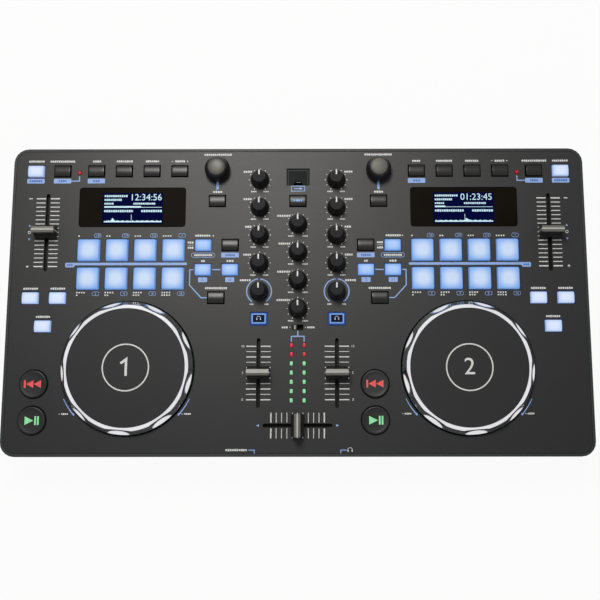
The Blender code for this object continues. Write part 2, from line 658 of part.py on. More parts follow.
def board_half_size():
    inset = RIM_WIDTH + LEDGE_WIDTH + BOARD_MARGIN
    return CASE_WIDTH / 2 - inset, CASE_DEPTH / 2 - inset


def standoff_places():
    half_width, half_depth = board_half_size()
    return [(share_x * half_width, share_y * half_depth) for share_x in STANDOFF_COLUMN_SHARES
            for share_y in STANDOFF_ROW_SHARES]


def make_case():
    """The open tub: outside up to the rim, over the ledge that carries the plate, and down the inside."""
    ledge_top = PLATE_UNDER - SEAT_GAP
    ledge_inset = RIM_WIDTH + LEDGE_WIDTH
    slope_top = PLATE_TOP - RIM_HEIGHT
    inner_top = ledge_top - LEDGE_THICKNESS
    fillet_start = CASE_FILLET * FILLET_START_SHARE
    rings = [
        case_ring(CASE_TAPER + CASE_FILLET, FOOT_HEIGHT),
        case_ring(CASE_TAPER + fillet_start, FOOT_HEIGHT + fillet_start),
        case_ring(taper_inset(FOOT_HEIGHT + CASE_FILLET), FOOT_HEIGHT + CASE_FILLET),
        case_ring(0, slope_top),
        case_ring(0, PLATE_TOP - RIM_CHAMFER),
        case_ring(RIM_CHAMFER, PLATE_TOP),
        case_ring(RIM_WIDTH, PLATE_TOP),
        case_ring(RIM_WIDTH, ledge_top),
        case_ring(ledge_inset, ledge_top),
        case_ring(ledge_inset, inner_top),
        case_ring(CASE_WALL + taper_inset(slope_top), inner_top - LEDGE_WIDTH),
        case_ring(CASE_WALL + taper_inset(FOOT_HEIGHT + CASE_FILLET), FOOT_HEIGHT + CASE_FILLET),
        case_ring(CASE_WALL + CASE_TAPER + CASE_FILLET * FILLET_INSIDE_SHARE, CASE_FLOOR),
    ]
    mesh_maker = bmesh.new()
    add_rings(mesh_maker, rings)
    case = mesh_object("case", mesh_maker, "case")
    cut_front_holes(case)
    cut_rear_opening(case)
    add_case_posts(case)


def add_square(mesh_maker, place, size, low, high):
    half = size / 2
    add_box(mesh_maker, (place[0] - half, place[1] - half, low), (place[0] + half, place[1] + half, high))


def add_board_switches(mesh_maker):
    """A switch under every key and pad, on both decks and in the mixer."""
    low = BOARD_TOP - BOARD_THICKNESS / 2
    places = [place for _, _, group in key_places() for place in group] + pad_places() + [(CHANNEL_X, MIXER_KEY_Y)]
    for x, y in places:
        for side in (-1, 1):
            add_square(mesh_maker, (side * x, y), SWITCH_SIZE, low, SWITCH_TOP)
    add_square(mesh_maker, (0, MIDI_Y), SWITCH_SIZE, low, SWITCH_TOP)
    for _, side in deck_sides():
        for height in (CUE_Y, PLAY_Y):
            add_square(mesh_maker, (round_key_x(side), height), SWITCH_SIZE, low, SWITCH_TOP)


def add_board_controls(mesh_maker):
    """Potentiometers, encoders, slide-fader bodies, the meter switch's body and the jog posts."""
    low = BOARD_TOP - BOARD_THICKNESS / 2
    knob_places = [(side * x, y) for x, y in channel_knob_places() + [(LOOP_X, BROWSE_Y)] for side in (-1, 1)]
    for place in knob_places + centre_knob_places():
        add_square(mesh_maker, place, POT_WIDTH, low, POT_TOP)
    for x, y, length, direction in fader_slots():
        half_long = length / 2 + FADER_BODY_END
        half_wide = FADER_BODY_WIDTH / 2
        half_x, half_y = (half_wide, half_long) if direction == "y" else (half_long, half_wide)
        add_box(mesh_maker, (x - half_x, y - half_y, low), (x + half_x, y + half_y, FADER_BODY_TOP))
    half_x, half_y = SWITCH_SLOT_WIDTH / 2, SWITCH_SLOT_DEPTH / 2
    add_box(mesh_maker, (-half_x, SWITCH_Y - half_y, low), (half_x, SWITCH_Y + half_y, SWITCH_TOP))
    for _, side in deck_sides():
        post_top = PLATE_TOP + JOG_POST_TOP - SEAT_GAP
        add_round(mesh_maker, JOG_POST_RADIUS, low, post_top, (side * DECK_X, JOG_Y), JACK_SEGMENTS)


def add_board_lights(mesh_maker):
    """Light guides that stand up into the plate's holes."""
    low = BOARD_TOP - BOARD_THICKNESS / 2
    half_x, half_y = LED_HOLE_WIDTH / 2 - SEAT_GAP, LED_HOLE_DEPTH / 2 - SEAT_GAP
    for x, y in meter_places():
        add_box(mesh_maker, (x - half_x, y - half_y, low), (x + half_x, y + half_y, PLATE_TOP))
    lamp_x, lamp_y = lamp_place()
    for side in (-1, 1):
        add_round(mesh_maker, LAMP_RADIUS, low, PLATE_TOP + LAMP_RADIUS / 2, (side * lamp_x, lamp_y), HOLE_SEGMENTS)


def make_board():
    """The circuit board with everything that is soldered to it, notched round the memory-stick socket."""
    half_width, half_depth = board_half_size()
    mesh_maker = bmesh.new()
    add_box(mesh_maker, (-half_width, -half_depth, BOARD_UNDER), (half_width, half_depth, BOARD_TOP))
    board = mesh_object("main_board", mesh_maker, "board")
    mesh_maker = bmesh.new()
    add_board_switches(mesh_maker)
    add_board_controls(mesh_maker)
    add_board_lights(mesh_maker)
    combine(board, mesh_object("board_parts", mesh_maker, None), "UNION")


def add_key_cap(mesh_maker, place, width, depth):
    """A key cap whose top is bowed from front to back, on its way up from the flange."""
    half_width, half_depth = width / 2 - HOLE_GAP, depth / 2 - HOLE_GAP
    low = FLANGE_TOP - FLANGE_THICKNESS / 2
    edge = PLATE_TOP + KEY_RISE - KEY_CROWN
    profile = [(-half_depth, low)]
    for step in range(CROWN_STEPS + 1):
        share = 2 * step / CROWN_STEPS - 1
        profile.append((half_depth * share, edge + KEY_CROWN * (1 - share * share)))
    profile.append((half_depth, low))
    x, y = place
    sides = [[(x + sign * half_width, y + offset, height) for offset, height in profile] for sign in (-1, 1)]
    add_rings(mesh_maker, sides)


def add_pad_cap(mesh_maker, place, size, rise):
    """A flat cushion-topped pad with round corners and a softened top edge."""
    outer = size - 2 * HOLE_GAP
    inner = outer - 2 * PAD_EDGE
    low = FLANGE_TOP - FLANGE_THICKNESS / 2
    top = PLATE_TOP + rise
    rings = [(outer, PAD_CORNER, low), (outer, PAD_CORNER, top - PAD_EDGE), (inner, PAD_CORNER - PAD_EDGE, top)]
    add_rings(mesh_maker, [[(x, y, height) for x, y in rounded_rectangle(side, side, radius, PAD_ARC_STEPS, place)]
                           for side, radius, height in rings])


def web_outline(places, width, depth):
    """The carrier under a group: a plain rectangle for one row, drawn in to the single key of a second row."""
    half_width, half_depth = width / 2 + FLANGE_WIDTH, depth / 2 + FLANGE_WIDTH
    low_y = min(place[1] for place in places)
    high_y = max(place[1] for place in places)
    top_row = [x for x, y in places if y == high_y]
    low_row = [x for x, y in places if y == low_y]
    left, right = min(top_row) - half_width, max(top_row) + half_width
    low_left, low_right = min(low_row) - half_width, max(low_row) + half_width
    top, bottom = high_y + half_depth, low_y - half_depth
    if len(low_row) == len(top_row):
        return [(left, bottom), (right, bottom), (right, top), (left, top)]
    shoulder, waist = high_y - half_depth, low_y + half_depth
    return [(low_left, bottom), (low_right, bottom), (low_right, waist), (right, shoulder), (right, top),
            (left, top), (left, shoulder), (low_left, waist)]


def make_keys(name, places, width, depth, colour_name, side, as_pads=False):
    """A key, or a group of keys moulded on one carrier, with a stem over each switch."""
    outline = web_outline(places, width, depth)
    mesh_maker = bmesh.new()
    add_rings(mesh_maker, [[(x, y, height) for x, y in outline] for height in (FLANGE_UNDER, FLANGE_TOP)])
    carrier = mesh_object(name, mesh_maker, colour_name)
    mesh_maker = bmesh.new()
    for place in places:
        if as_pads:
            add_pad_cap(mesh_maker, place, width, PAD_RISE)
        else:
            add_key_cap(mesh_maker, place, width, depth)
        add_square(mesh_maker, place, STEM_SIZE, KEY_STEM_END, FLANGE_UNDER + FLANGE_THICKNESS / 4)
    combine(carrier, mesh_object(name + "_caps", mesh_maker, None), "UNION")
    if side < 0:
        mirror_about_middle(carrier)


def mirror_about_middle(piece):
    """Move a piece made at positive X to the left deck, with its helper shapes."""
    pieces = [piece] + [modifier.object for modifier in piece.modifiers]
    for item in pieces:
        item.data.transform(Matrix.Scale(-1, 4, Vector((1, 0, 0))))
        item.data.flip_normals()


def make_small_keys():
    for side_name, side in deck_sides():
        for name, colour_name, places in key_places():
            make_keys(f"{side_name}_{name}", places, KEY_WIDTH, KEY_DEPTH, colour_name, side)
        make_keys(f"{side_name}_headphone_cue_key", [(CHANNEL_X, MIXER_KEY_Y)], MIXER_KEY_WIDTH, MIXER_KEY_DEPTH,
                  "lit", side)
        make_keys(f"{side_name}_pads", pad_places(), PAD_SIZE, PAD_SIZE, "lit", side, as_pads=True)
    make_keys("midi_key", [(0, MIDI_Y)], KEY_WIDTH, KEY_DEPTH, "key", 1)


def make_round_keys():
    """Cue and play keys: a stem, a flange under the plate and a cap with a bevelled edge."""
    cap_radius = ROUND_KEY_HOLE / 2 - HOLE_GAP
    top = PLATE_TOP + ROUND_KEY_RISE
    profile = [
        (ROUND_KEY_STEM, KEY_STEM_END),
        (ROUND_KEY_STEM, FLANGE_UNDER),
        (ROUND_KEY_HOLE / 2 + FLANGE_WIDTH, FLANGE_UNDER),
        (ROUND_KEY_HOLE / 2 + FLANGE_WIDTH, FLANGE_TOP),
        (cap_radius, FLANGE_TOP),
        (cap_radius, top - ROUND_KEY_CHAMFER),
        (cap_radius - ROUND_KEY_CHAMFER, top),
    ]
    for side_name, side in deck_sides():
        for name, height in (("cue_key", CUE_Y), ("play_key", PLAY_Y)):
            turned(f"{side_name}_{name}", profile, ROUND_KEY_SEGMENTS, "dark_key", (round_key_x(side), height, 0))


def knob_profile():
    """A slightly skirted cone on its shaft, down to just above the potentiometer."""
    low = PLATE_TOP + KNOB_LIFT
    top = low + KNOB_HEIGHT
    return [
        (SHAFT_RADIUS, POT_TOP + SEAT_GAP),
        (SHAFT_RADIUS, low),
        (KNOB_BASE_RADIUS, low),
        (KNOB_BASE_RADIUS, low + KNOB_SKIRT),
        (KNOB_TOP_RADIUS, top),
    ]


def browse_profile():
    """The domed knob of an endless encoder."""
    low = PLATE_TOP + KNOB_LIFT
    top = low + BROWSE_HEIGHT
    return [
        (SHAFT_RADIUS, POT_TOP + SEAT_GAP),
        (SHAFT_RADIUS, low),
        (BROWSE_RADIUS, low),
        (BROWSE_RADIUS, low + BROWSE_HEIGHT * BROWSE_WALL_SHARE),
        (BROWSE_RADIUS * BROWSE_SHOULDER_RADIUS_SHARE, low + BROWSE_HEIGHT * BROWSE_SHOULDER_SHARE),
        (BROWSE_TOP_RADIUS, low + BROWSE_HEIGHT * BROWSE_DOME_SHARE),
        (BROWSE_TOP_RADIUS * BROWSE_CROWN_RADIUS_SHARE, top),
    ]


def make_knobs():
    for side_name, side in deck_sides():
        for name, (x, y) in zip(CHANNEL_KNOBS, channel_knob_places()):
            turned(f"{side_name}_{name}", knob_profile(), KNOB_SEGMENTS, "black", (side * x, y, 0))
        turned(f"{side_name}_browse_knob", browse_profile(), ROUND_KEY_SEGMENTS, "black", (side * LOOP_X, BROWSE_Y, 0))
    for name, (x, y) in zip(CENTRE_KNOBS, centre_knob_places()):
        turned(name, knob_profile(), KNOB_SEGMENTS, "black", (x, y, 0))


def make_fader(name, place, along_x, colour_name="black"):
    """A fader cap: a waisted profile along its travel, drawn across, on a thin stem through the slot."""
    low = PLATE_TOP + FADER_CAP_LIFT
    top = low + FADER_CAP_HEIGHT
    half_base, half_ridge = FADER_CAP_LENGTH / 2, FADER_RIDGE_LENGTH / 2
    shoulder = top - FADER_RIDGE_DEPTH
    half_waist = half_base * FADER_WAIST_LENGTH_SHARE
    flare = low + FADER_CAP_HEIGHT * FADER_FLARE_SHARE
    waist = low + FADER_CAP_HEIGHT * FADER_WAIST_SHARE
    profile = [
        (-half_base, low),
        (half_base, low),
        (half_base, flare),
        (half_waist, waist),
        (half_ridge, shoulder),
        (half_ridge, top),
        (-half_ridge, top),
        (-half_ridge, shoulder),
        (-half_waist, waist),
        (-half_base, flare),
    ]
    half_width = FADER_CAP_WIDTH / 2
    mesh_maker = bmesh.new()
    add_rings(mesh_maker, [[(sign * half_width, along, height) for along, height in profile] for sign in (-1, 1)])
    cap = mesh_object(name, mesh_maker, colour_name, place)
    half_stem, half_long = FADER_STEM_WIDTH / 2, FADER_STEM_LENGTH / 2
    mesh_maker = bmesh.new()
    add_box(mesh_maker, (-half_stem, -half_long, FADER_BODY_TOP + SEAT_GAP), (half_stem, half_long, low + OVERRUN))
    stem = mesh_object(name + "_stem", mesh_maker, None, place)
    combine(cap, stem, "UNION")
    if along_x:
        for item in (cap, stem):
            item.rotation_euler.z = math.pi / 2


def make_faders():
    for side_name, side in deck_sides():
        make_fader(f"{side_name}_pitch_fader", (side * OUTER_X, PITCH_Y, 0), False)
        make_fader(f"{side_name}_channel_fader", (side * CHANNEL_X, LEVEL_Y, 0), False)
    make_fader("crossfader", (0, CROSSFADER_Y, 0), True)


def scalloped_ring(radius, depth, height, start_angle):
    """A ring with finger scallops: each one a raised-cosine dip over half of its share of the turn."""
    segments = JOG_SEGMENTS_PER_SCALLOP * JOG_SCALLOP_COUNT
    points = []
    for index in range(segments):
        turn = start_angle + math.tau * index / segments
        phase = (index / JOG_SEGMENTS_PER_SCALLOP + 0.5) % 1 - 0.5
        dip = max(0.0, math.cos(math.tau * phase))
        reach = radius - depth * dip
        points.append((reach * math.cos(turn), reach * math.sin(turn), height))
    return points


def make_jog(side_name, side):
    """The jog wheel: hub and bore on its post, hollow underside, skirt, scalloped slope, bright lip and disc."""
    outer = JOG_HOLE_RADIUS - JOG_GAP
    top = PLATE_TOP + JOG_RISE
    start = LEFT_SCALLOP_ANGLE if side < 0 else math.pi - LEFT_SCALLOP_ANGLE
    bore_radius = JOG_POST_RADIUS + SEAT_GAP
    plain = 0.0
    slope_radius = outer * JOG_SLOPE_RADIUS_SHARE + JOG_LIP_OUTER * (1 - JOG_SLOPE_RADIUS_SHARE)
    rings = [
        (JOG_DISC_RADIUS, plain, top - JOG_DISC_THICKNESS),
        (outer - JOG_SKIRT_WALL, plain, PLATE_TOP),
        (outer - JOG_SKIRT_WALL, plain, PLATE_TOP - JOG_SKIRT),
        (outer, plain, PLATE_TOP - JOG_SKIRT),
        (outer, plain, PLATE_TOP + JOG_RISE * JOG_SLOPE_START_SHARE),
        (slope_radius, JOG_SCALLOP_DEPTH, PLATE_TOP + JOG_RISE * JOG_SLOPE_MIDDLE_SHARE),
        (JOG_LIP_OUTER, JOG_SCALLOP_DEPTH * JOG_LIP_DIP_SHARE, top),
        (JOG_DISC_RADIUS, plain, top),
        (JOG_DISC_RADIUS, plain, top - JOG_DISC_STEP),
    ]
    mesh_maker = bmesh.new()
    add_rings(mesh_maker, [scalloped_ring(radius, depth, height, start) for radius, depth, height in rings])
    place = (side * DECK_X, JOG_Y, 0)
    wheel = mesh_object(f"{side_name}_jog_wheel", mesh_maker, "chrome", place)
    hub = [
        (bore_radius, PLATE_TOP + JOG_POST_TOP),
        (bore_radius, PLATE_TOP - JOG_HUB_DEPTH),
        (JOG_HUB_RADIUS, PLATE_TOP - JOG_HUB_DEPTH),
        (JOG_HUB_RADIUS, top - JOG_DISC_THICKNESS / 2),
    ]
    combine(wheel, turned(f"{side_name}_jog_hub", hub, JACK_SEGMENTS, None, place), "UNION")


def make_display(side_name, side):
    """A display: the dark window in the plate's hole, a flange under it and the module down to the board."""
    window = (WINDOW_WIDTH - 2 * SEAT_GAP, WINDOW_DEPTH - 2 * SEAT_GAP, WINDOW_CORNER)
    flange = (WINDOW_WIDTH + 2 * FLANGE_WIDTH, WINDOW_DEPTH + 2 * FLANGE_WIDTH, WINDOW_CORNER)
    body_low = FLANGE_TOP - DISPLAY_BODY
    levels = [(flange, body_low), (flange, FLANGE_TOP), (window, FLANGE_TOP), (window, PLATE_TOP - WINDOW_SINK)]
    mesh_maker = bmesh.new()
    add_rings(mesh_maker, [[(x, y, height) for x, y in rounded_rectangle(*size, SMALL_ARC_STEPS)]
                           for size, height in levels])
    mesh_object(f"{side_name}_display", mesh_maker, "screen", (side * DECK_X, WINDOW_Y, 0))


def make_door():
    """The door leaf with its finger notch, turning on a pin along its back edge."""
    hinge_y = DOOR_Y + DOOR_DEPTH / 2 - DOOR_PIN_RADIUS
    top = PLATE_TOP - DOOR_SINK
    under = top - DOOR_THICKNESS
    half_width = DOOR_WIDTH / 2
    front = DOOR_Y - DOOR_DEPTH / 2 - hinge_y
    notch = []
    for step in range(ARC_STEPS + 1):
        turn = math.pi * (1 - step / ARC_STEPS)
        notch.append((DOOR_NOTCH_RADIUS * math.cos(turn), front + DOOR_NOTCH_RADIUS * math.sin(turn)))
    outline = [(-half_width, 0), (-half_width, front)] + notch + [(half_width, front), (half_width, 0)]
    middle = (top + under) / 2
    mesh_maker = bmesh.new()
    add_rings(mesh_maker, [[(x, y, height - middle) for x, y in outline] for height in (under, top)])
    door = mesh_object("usb_door", mesh_maker, "black", (0, hinge_y, middle))
    mesh_maker = bmesh.new()
    turn_to_x = Matrix.Rotation(math.pi / 2, 4, "Y")
    bmesh.ops.create_cone(mesh_maker, cap_ends=True, segments=HOLE_SEGMENTS, radius1=DOOR_PIN_RADIUS,
                          radius2=DOOR_PIN_RADIUS, depth=DOOR_WIDTH, matrix=turn_to_x)
    combine(door, mesh_object("door_pin", mesh_maker, None, (0, hinge_y, middle)), "UNION")


def make_stick_socket():
    """The upright memory-stick socket on the board, open at the top under the door."""
    outer_x, outer_y = STICK_WIDTH / 2 + STICK_WALL, STICK_DEPTH / 2 + STICK_WALL
    inner_x, inner_y = STICK_WIDTH / 2, STICK_DEPTH / 2
    top = PLATE_TOP - STICK_SINK
    floor = top - STICK_CAVITY
    levels = [(outer_x, outer_y, BOARD_TOP + SEAT_GAP), (outer_x, outer_y, top), (inner_x, inner_y, top),
              (inner_x, inner_y, floor)]
    mesh_maker = bmesh.new()
    add_rings(mesh_maker, [[(x, y, height) for x, y in rectangle(2 * half_x, 2 * half_y)]
                           for half_x, half_y, height in levels])
    mesh_object("usb_socket", mesh_maker, "metal", (0, DOOR_Y - DOOR_NOTCH_RADIUS * STICK_OFFSET_SHARE, 0))


def make_meter_switch():
    """The small lever of the slide switch over the meter, at the left end of its slot."""
    half_x = SWITCH_LEVER_WIDTH / 2
    half_y = SWITCH_SLOT_DEPTH / 2 - SEAT_GAP
    middle_x = -SWITCH_SLOT_WIDTH / 2 + SEAT_GAP + half_x
    levels = [(half_x, half_y, SWITCH_TOP + SEAT_GAP), (half_x, half_y, PLATE_TOP),
              (half_x * SWITCH_LEVER_TIP_SHARE, half_y * SWITCH_LEVER_TIP_SHARE, PLATE_TOP + SWITCH_LEVER_RISE)]
    mesh_maker = bmesh.new()
    add_rings(mesh_maker, [[(x, y, height) for x, y in rectangle(2 * wide, 2 * deep)]
                           for wide, deep, height in levels])
    mesh_object("meter_switch", mesh_maker, "black", (middle_x, SWITCH_Y, 0))


def front_wall_y(height):
    """The outside of the sloped front wall at a height."""
    return FRONT + taper_inset(height)


def make_jack(name, x):
    """A 6.35 mm jack: its nose through the front wall and its body behind, with the bore open to the front."""
    wall_out = front_wall_y(FRONT_CONTROL_Z + JACK_BODY_RADIUS)
    wall_in = front_wall_y(FRONT_CONTROL_Z - JACK_BODY_RADIUS) + CASE_WALL
    nose = wall_out - (JACK_NOSE_LENGTH - CASE_WALL) / 2
    body = wall_in + SEAT_GAP
    profile = [
        (JACK_BORE_RADIUS, nose + JACK_BORE_LENGTH),
        (JACK_BORE_RADIUS, nose),
        (JACK_NOSE_RADIUS, nose),
        (JACK_NOSE_RADIUS, body),
        (JACK_BODY_RADIUS, body),
        (JACK_BODY_RADIUS, body + JACK_BODY_LENGTH),
    ]
    jack = turned(name, profile, JACK_SEGMENTS, "black", (x, 0, FRONT_CONTROL_Z))
    jack.rotation_euler.x = -math.pi / 2


def make_mic_knob():
    """The microphone volume knob on the front wall, on its shaft."""
    wall_out = front_wall_y(FRONT_CONTROL_Z + FRONT_KNOB_RADIUS)
    base = wall_out - SEAT_GAP
    tip = base - FRONT_KNOB_LENGTH
    profile = [
        (FRONT_KNOB_RADIUS * FRONT_KNOB_TIP_SHARE, tip),
        (FRONT_KNOB_RADIUS, tip + FRONT_KNOB_LENGTH * FRONT_KNOB_BEVEL_SHARE),
        (FRONT_KNOB_RADIUS, base),
        (SHAFT_RADIUS, base),
        (SHAFT_RADIUS, base + FRONT_SHAFT_LENGTH + CASE_TAPER),
    ]
    knob = turned("mic_volume_knob", profile, KNOB_SEGMENTS, "black", (-FRONT_CONTROL_X, 0, FRONT_CONTROL_Z))
    knob.rotation_euler.x = -math.pi / 2


def make_jack_block():
    """The rear block: phono sockets in a row and the square socket that goes to a computer."""
    face = BACK - BLOCK_RECESS
    mesh_maker = bmesh.new()
    add_box(mesh_maker, (-BLOCK_WIDTH / 2, face - BLOCK_DEPTH, BLOCK_LOW),
            (BLOCK_WIDTH / 2, face, BLOCK_LOW + BLOCK_HEIGHT))
    block = mesh_object("rear_jack_block", mesh_maker, "black")
    middle_z = BLOCK_LOW + BLOCK_HEIGHT / 2
    barrels = bmesh.new()
    bores = bmesh.new()
    for index in range(PHONO_COUNT):
        x = BLOCK_WIDTH / 2 - PHONO_SPACING / 2 - index * PHONO_SPACING
        turn = Matrix.Rotation(math.pi / 2, 4, "X")
        for shape, radius, start, end in ((barrels, PHONO_RADIUS, face - OVERRUN, face + PHONO_LENGTH),
                                          (bores, PHONO_BORE_RADIUS, face, face + PHONO_LENGTH + OVERRUN)):
            place = Matrix.Translation((x, (start + end) / 2, middle_z)) @ turn
            bmesh.ops.create_cone(shape, cap_ends=True, segments=JACK_SEGMENTS, radius1=radius, radius2=radius,
                                  depth=end - start, matrix=place)
    left = -BLOCK_WIDTH / 2 + HOST_MARGIN
    add_box(bores, (left, face - HOST_CAVITY, middle_z - HOST_HEIGHT / 2),
            (left + HOST_WIDTH, face + OVERRUN, middle_z + HOST_HEIGHT / 2))
    combine(block, mesh_object("phono_barrels", barrels, None), "UNION")
    combine(block, mesh_object("phono_bores", bores, None), "DIFFERENCE")


def main():
    clear_scene()
    make_faceplate()
    make_case()
    make_board()
    make_small_keys()
    make_round_keys()
    make_knobs()
    make_faders()
    for side_name, side in deck_sides():
        make_jog(side_name, side)
        make_display(side_name, side)
    make_door()
    make_stick_socket()
    make_meter_switch()
    make_jack("mic_jack", -FRONT_CONTROL_X - FRONT_CONTROL_SPACING)
    make_jack("headphone_jack", FRONT_CONTROL_X)
    make_mic_knob()
    make_jack_block()


main()
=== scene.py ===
"""Finishes, print and lights for a flat DJ controller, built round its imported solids.

Metres, +Z up, +Y to the back. Every piece is made at its place and rides on the body that moves it.
"""
import functools
import json
import math

import bmesh
import bpy
from bpy.props import BoolProperty, FloatProperty, FloatVectorProperty, IntProperty, PointerProperty
from mathutils import Matrix, Vector

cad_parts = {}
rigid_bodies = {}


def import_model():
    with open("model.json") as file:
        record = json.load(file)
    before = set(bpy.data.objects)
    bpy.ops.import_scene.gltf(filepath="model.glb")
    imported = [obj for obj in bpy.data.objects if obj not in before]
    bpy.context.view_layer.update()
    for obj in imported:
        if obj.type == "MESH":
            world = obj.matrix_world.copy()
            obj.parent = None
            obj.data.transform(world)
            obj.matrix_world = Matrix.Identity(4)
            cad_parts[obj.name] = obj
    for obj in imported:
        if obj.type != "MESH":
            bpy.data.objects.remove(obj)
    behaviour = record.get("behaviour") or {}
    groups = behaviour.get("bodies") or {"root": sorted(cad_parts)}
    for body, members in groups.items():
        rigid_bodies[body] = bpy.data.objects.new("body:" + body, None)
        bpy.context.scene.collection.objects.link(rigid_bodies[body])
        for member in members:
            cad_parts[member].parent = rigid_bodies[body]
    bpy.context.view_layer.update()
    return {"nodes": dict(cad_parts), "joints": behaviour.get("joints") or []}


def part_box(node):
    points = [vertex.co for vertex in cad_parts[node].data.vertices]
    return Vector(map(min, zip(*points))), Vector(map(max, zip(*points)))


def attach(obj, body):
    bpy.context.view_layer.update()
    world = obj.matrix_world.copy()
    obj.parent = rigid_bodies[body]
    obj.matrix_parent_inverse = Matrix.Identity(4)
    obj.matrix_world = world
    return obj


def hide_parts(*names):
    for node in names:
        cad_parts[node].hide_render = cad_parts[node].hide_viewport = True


bl_info = {
    "name": "DJ Controller Look",
    "version": (1, 0, 0),
    "blender": (4, 5, 0),
    "location": "View3D > Sidebar > Controller",
    "description": "Dresses the solids of a flat DJ controller with finishes, print and studio light",
    "category": "Object",
}

for leftover in list(bpy.data.objects):
    bpy.data.objects.remove(leftover, do_unlink=True)
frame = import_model()

PLATE_LOW, PLATE_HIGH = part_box("faceplate")
CASE_LOW, CASE_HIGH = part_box("case")
PLATE_TOP = PLATE_HIGH.z
SIDES = (("left", -1), ("right", 1))
CHANNEL_KNOBS = ("gain_knob", "high_knob", "mid_knob", "low_knob", "filter_knob")
CENTRE_KNOBS = ("master_knob", "booth_knob", "cue_volume_knob", "cue_mix_knob")
FADERS = ("left_pitch_fader", "right_pitch_fader", "left_channel_fader", "right_channel_fader", "crossfader")

# Shared by every key: the flange that the plate holds down, and the gap round a cap in its hole
FLANGE = 0.0008
FLANGE_DROP = 0.0018
FLANGE_THICKNESS = 0.0012
CAP_GAP = 0.0007
STEM = 0.0036
CAP_MAP = "cap_map"
# On the map across a cap, 0 is its middle and 1 its side: where unlit caps take painted near-black shade on
# their sides and in the gap, and where the gap starts
CAP_SIDE_SHADE_START = 0.965
CAP_EDGE = 1.004

# How far a knob's pointer stands over its top face
POINTER_LIFT = 0.00012

# Pads
PAD_SIZE = 0.0203
PAD_COLUMNS = 4
PAD_ROWS = 2
PAD_CORNER = 0.0017

# Print
PRINT_RISE = 0.00004
PRINT_SINK = 0.00001
PRINT_LAYERS = 5
PRINT_LAYER_STEP = 0.000003
LABEL_HEIGHT = 0.0018
LABEL_OFFSET = 0.0089
TAG_OFFSET = 0.0088
TAG_WIDTH = 0.0153
TAG_DEPTH = 0.0042
SMALL_TAG_WIDTH = 0.0078
TAG_CORNER = 0.0006
LINE_WIDTH = 0.0009

# Level meter and lamps
METER_X = 0.00545
METER_TOP = -0.0398
METER_PITCH = 0.00775
METER_ROWS = 7
METER_RED_ROWS = 2
LED_WIDTH = 0.0024
LED_DEPTH = 0.0034
LAMP_DROP = 0.0014
LAMP_RADIUS = 0.0020

SMOOTH_ANGLE = math.radians(35.0)
# Keeps the floor and the soles of the feet from sharing one plane
FLOOR_DROP = 0.00005
# How far the board's top lies under the plate: what stands higher on it is black plastic
BOARD_DROP = 0.0100

# The gap between a knob and the plate, and the radius of the shaft that goes through it
KNOB_LIFT = 0.0010
SHAFT_RADIUS = 0.0030

# Turns a shape made along +Z to point out of the front wall, and mirrors one that would stand on its head
LIE_FORWARD = Matrix.Rotation(math.pi / 2, 4, "X")
MIRROR_Y = Matrix.Scale(-1, 4, Vector((0, 1, 0)))


def srgb(red, green, blue):
    """A colour as it is seen, 0 to 255, turned into the linear numbers that shaders use."""
    shares = [value / 255 for value in (red, green, blue)]
    return tuple(share / 12.92 if share <= 0.04045 else ((share + 0.055) / 1.055) ** 2.4 for share in shares)


def colour_property(name, description, red, green, blue):
    return FloatVectorProperty(name=name, description=description, subtype="COLOR", size=3, min=0.0, max=1.0,
                               default=srgb(red, green, blue))


def number_property(name, description, default, low=0.0, unit="LENGTH"):
    return FloatProperty(name=name, description=description, default=default, min=low, unit=unit)


class ControllerColours(bpy.types.PropertyGroup):
    plate: colour_property("Plate", "Brushed metal of the faceplate", 24, 24, 26)
    case: colour_property("Case", "Moulded case and its rim", 34, 38, 39)
    rubber: colour_property("Knob rubber", "Sides of the knobs", 19, 19, 21)
    knob_top: colour_property("Knob top", "Top face of the knobs", 28, 29, 32)
    browse_top: colour_property("Browse top", "Satin dome of the browse knobs", 92, 90, 84)
    dark_key: colour_property("Dark key", "Unlit small keys", 28, 28, 27)
    round_key: colour_property("Round key", "Cue and play keys", 30, 30, 31)
    jog_disc: colour_property("Jog disc", "Satin top of the jog wheels", 33, 32, 34)
    fader: colour_property("Fader cap", "Dark foot of the fader caps", 26, 26, 26)
    ridge: colour_property("Fader ridge", "Pale grip bar of the fader caps", 96, 95, 90)
    white_ink: colour_property("White print", "White legends and scales", 226, 228, 226)
    blue_ink: colour_property("Blue print", "Light blue tags and lines", 146, 180, 238)
    deep_ink: colour_property("Deep print", "Marks inside the blue tags", 66, 96, 176)
    lit_centre: colour_property("Pad centre", "Middle of a lit pad", 200, 218, 244)
    lit_edge: colour_property("Pad edge", "Edge of a lit pad", 120, 168, 236)
    key_centre: colour_property("Blue key centre", "Middle of the bluer lit keys", 166, 198, 244)
    key_edge: colour_property("Blue key edge", "Edge of the bluer lit keys", 112, 160, 234)
    pale_centre: colour_property("Pale key centre", "Middle of the palest lit keys", 216, 228, 250)
    pale_edge: colour_property("Pale key edge", "Edge of the palest lit keys", 170, 198, 246)
    red_light: colour_property("Red light", "Red lenses of the meter", 208, 58, 66)
    cue_light: colour_property("Cue light", "Sign on the cue keys", 234, 92, 92)
    lamp_light: colour_property("Lamp light", "Round lamps beside the tap keys", 196, 24, 40)
    green_light: colour_property("Green light", "Green marks and lamps", 146, 226, 166)
    window: colour_property("Display window", "Tinted window over a display", 20, 16, 11)
    screen: colour_property("Screen", "Dark blue ground of a display", 7, 11, 56)
    digits: colour_property("Screen marks", "Pale marks on a display", 200, 236, 248)


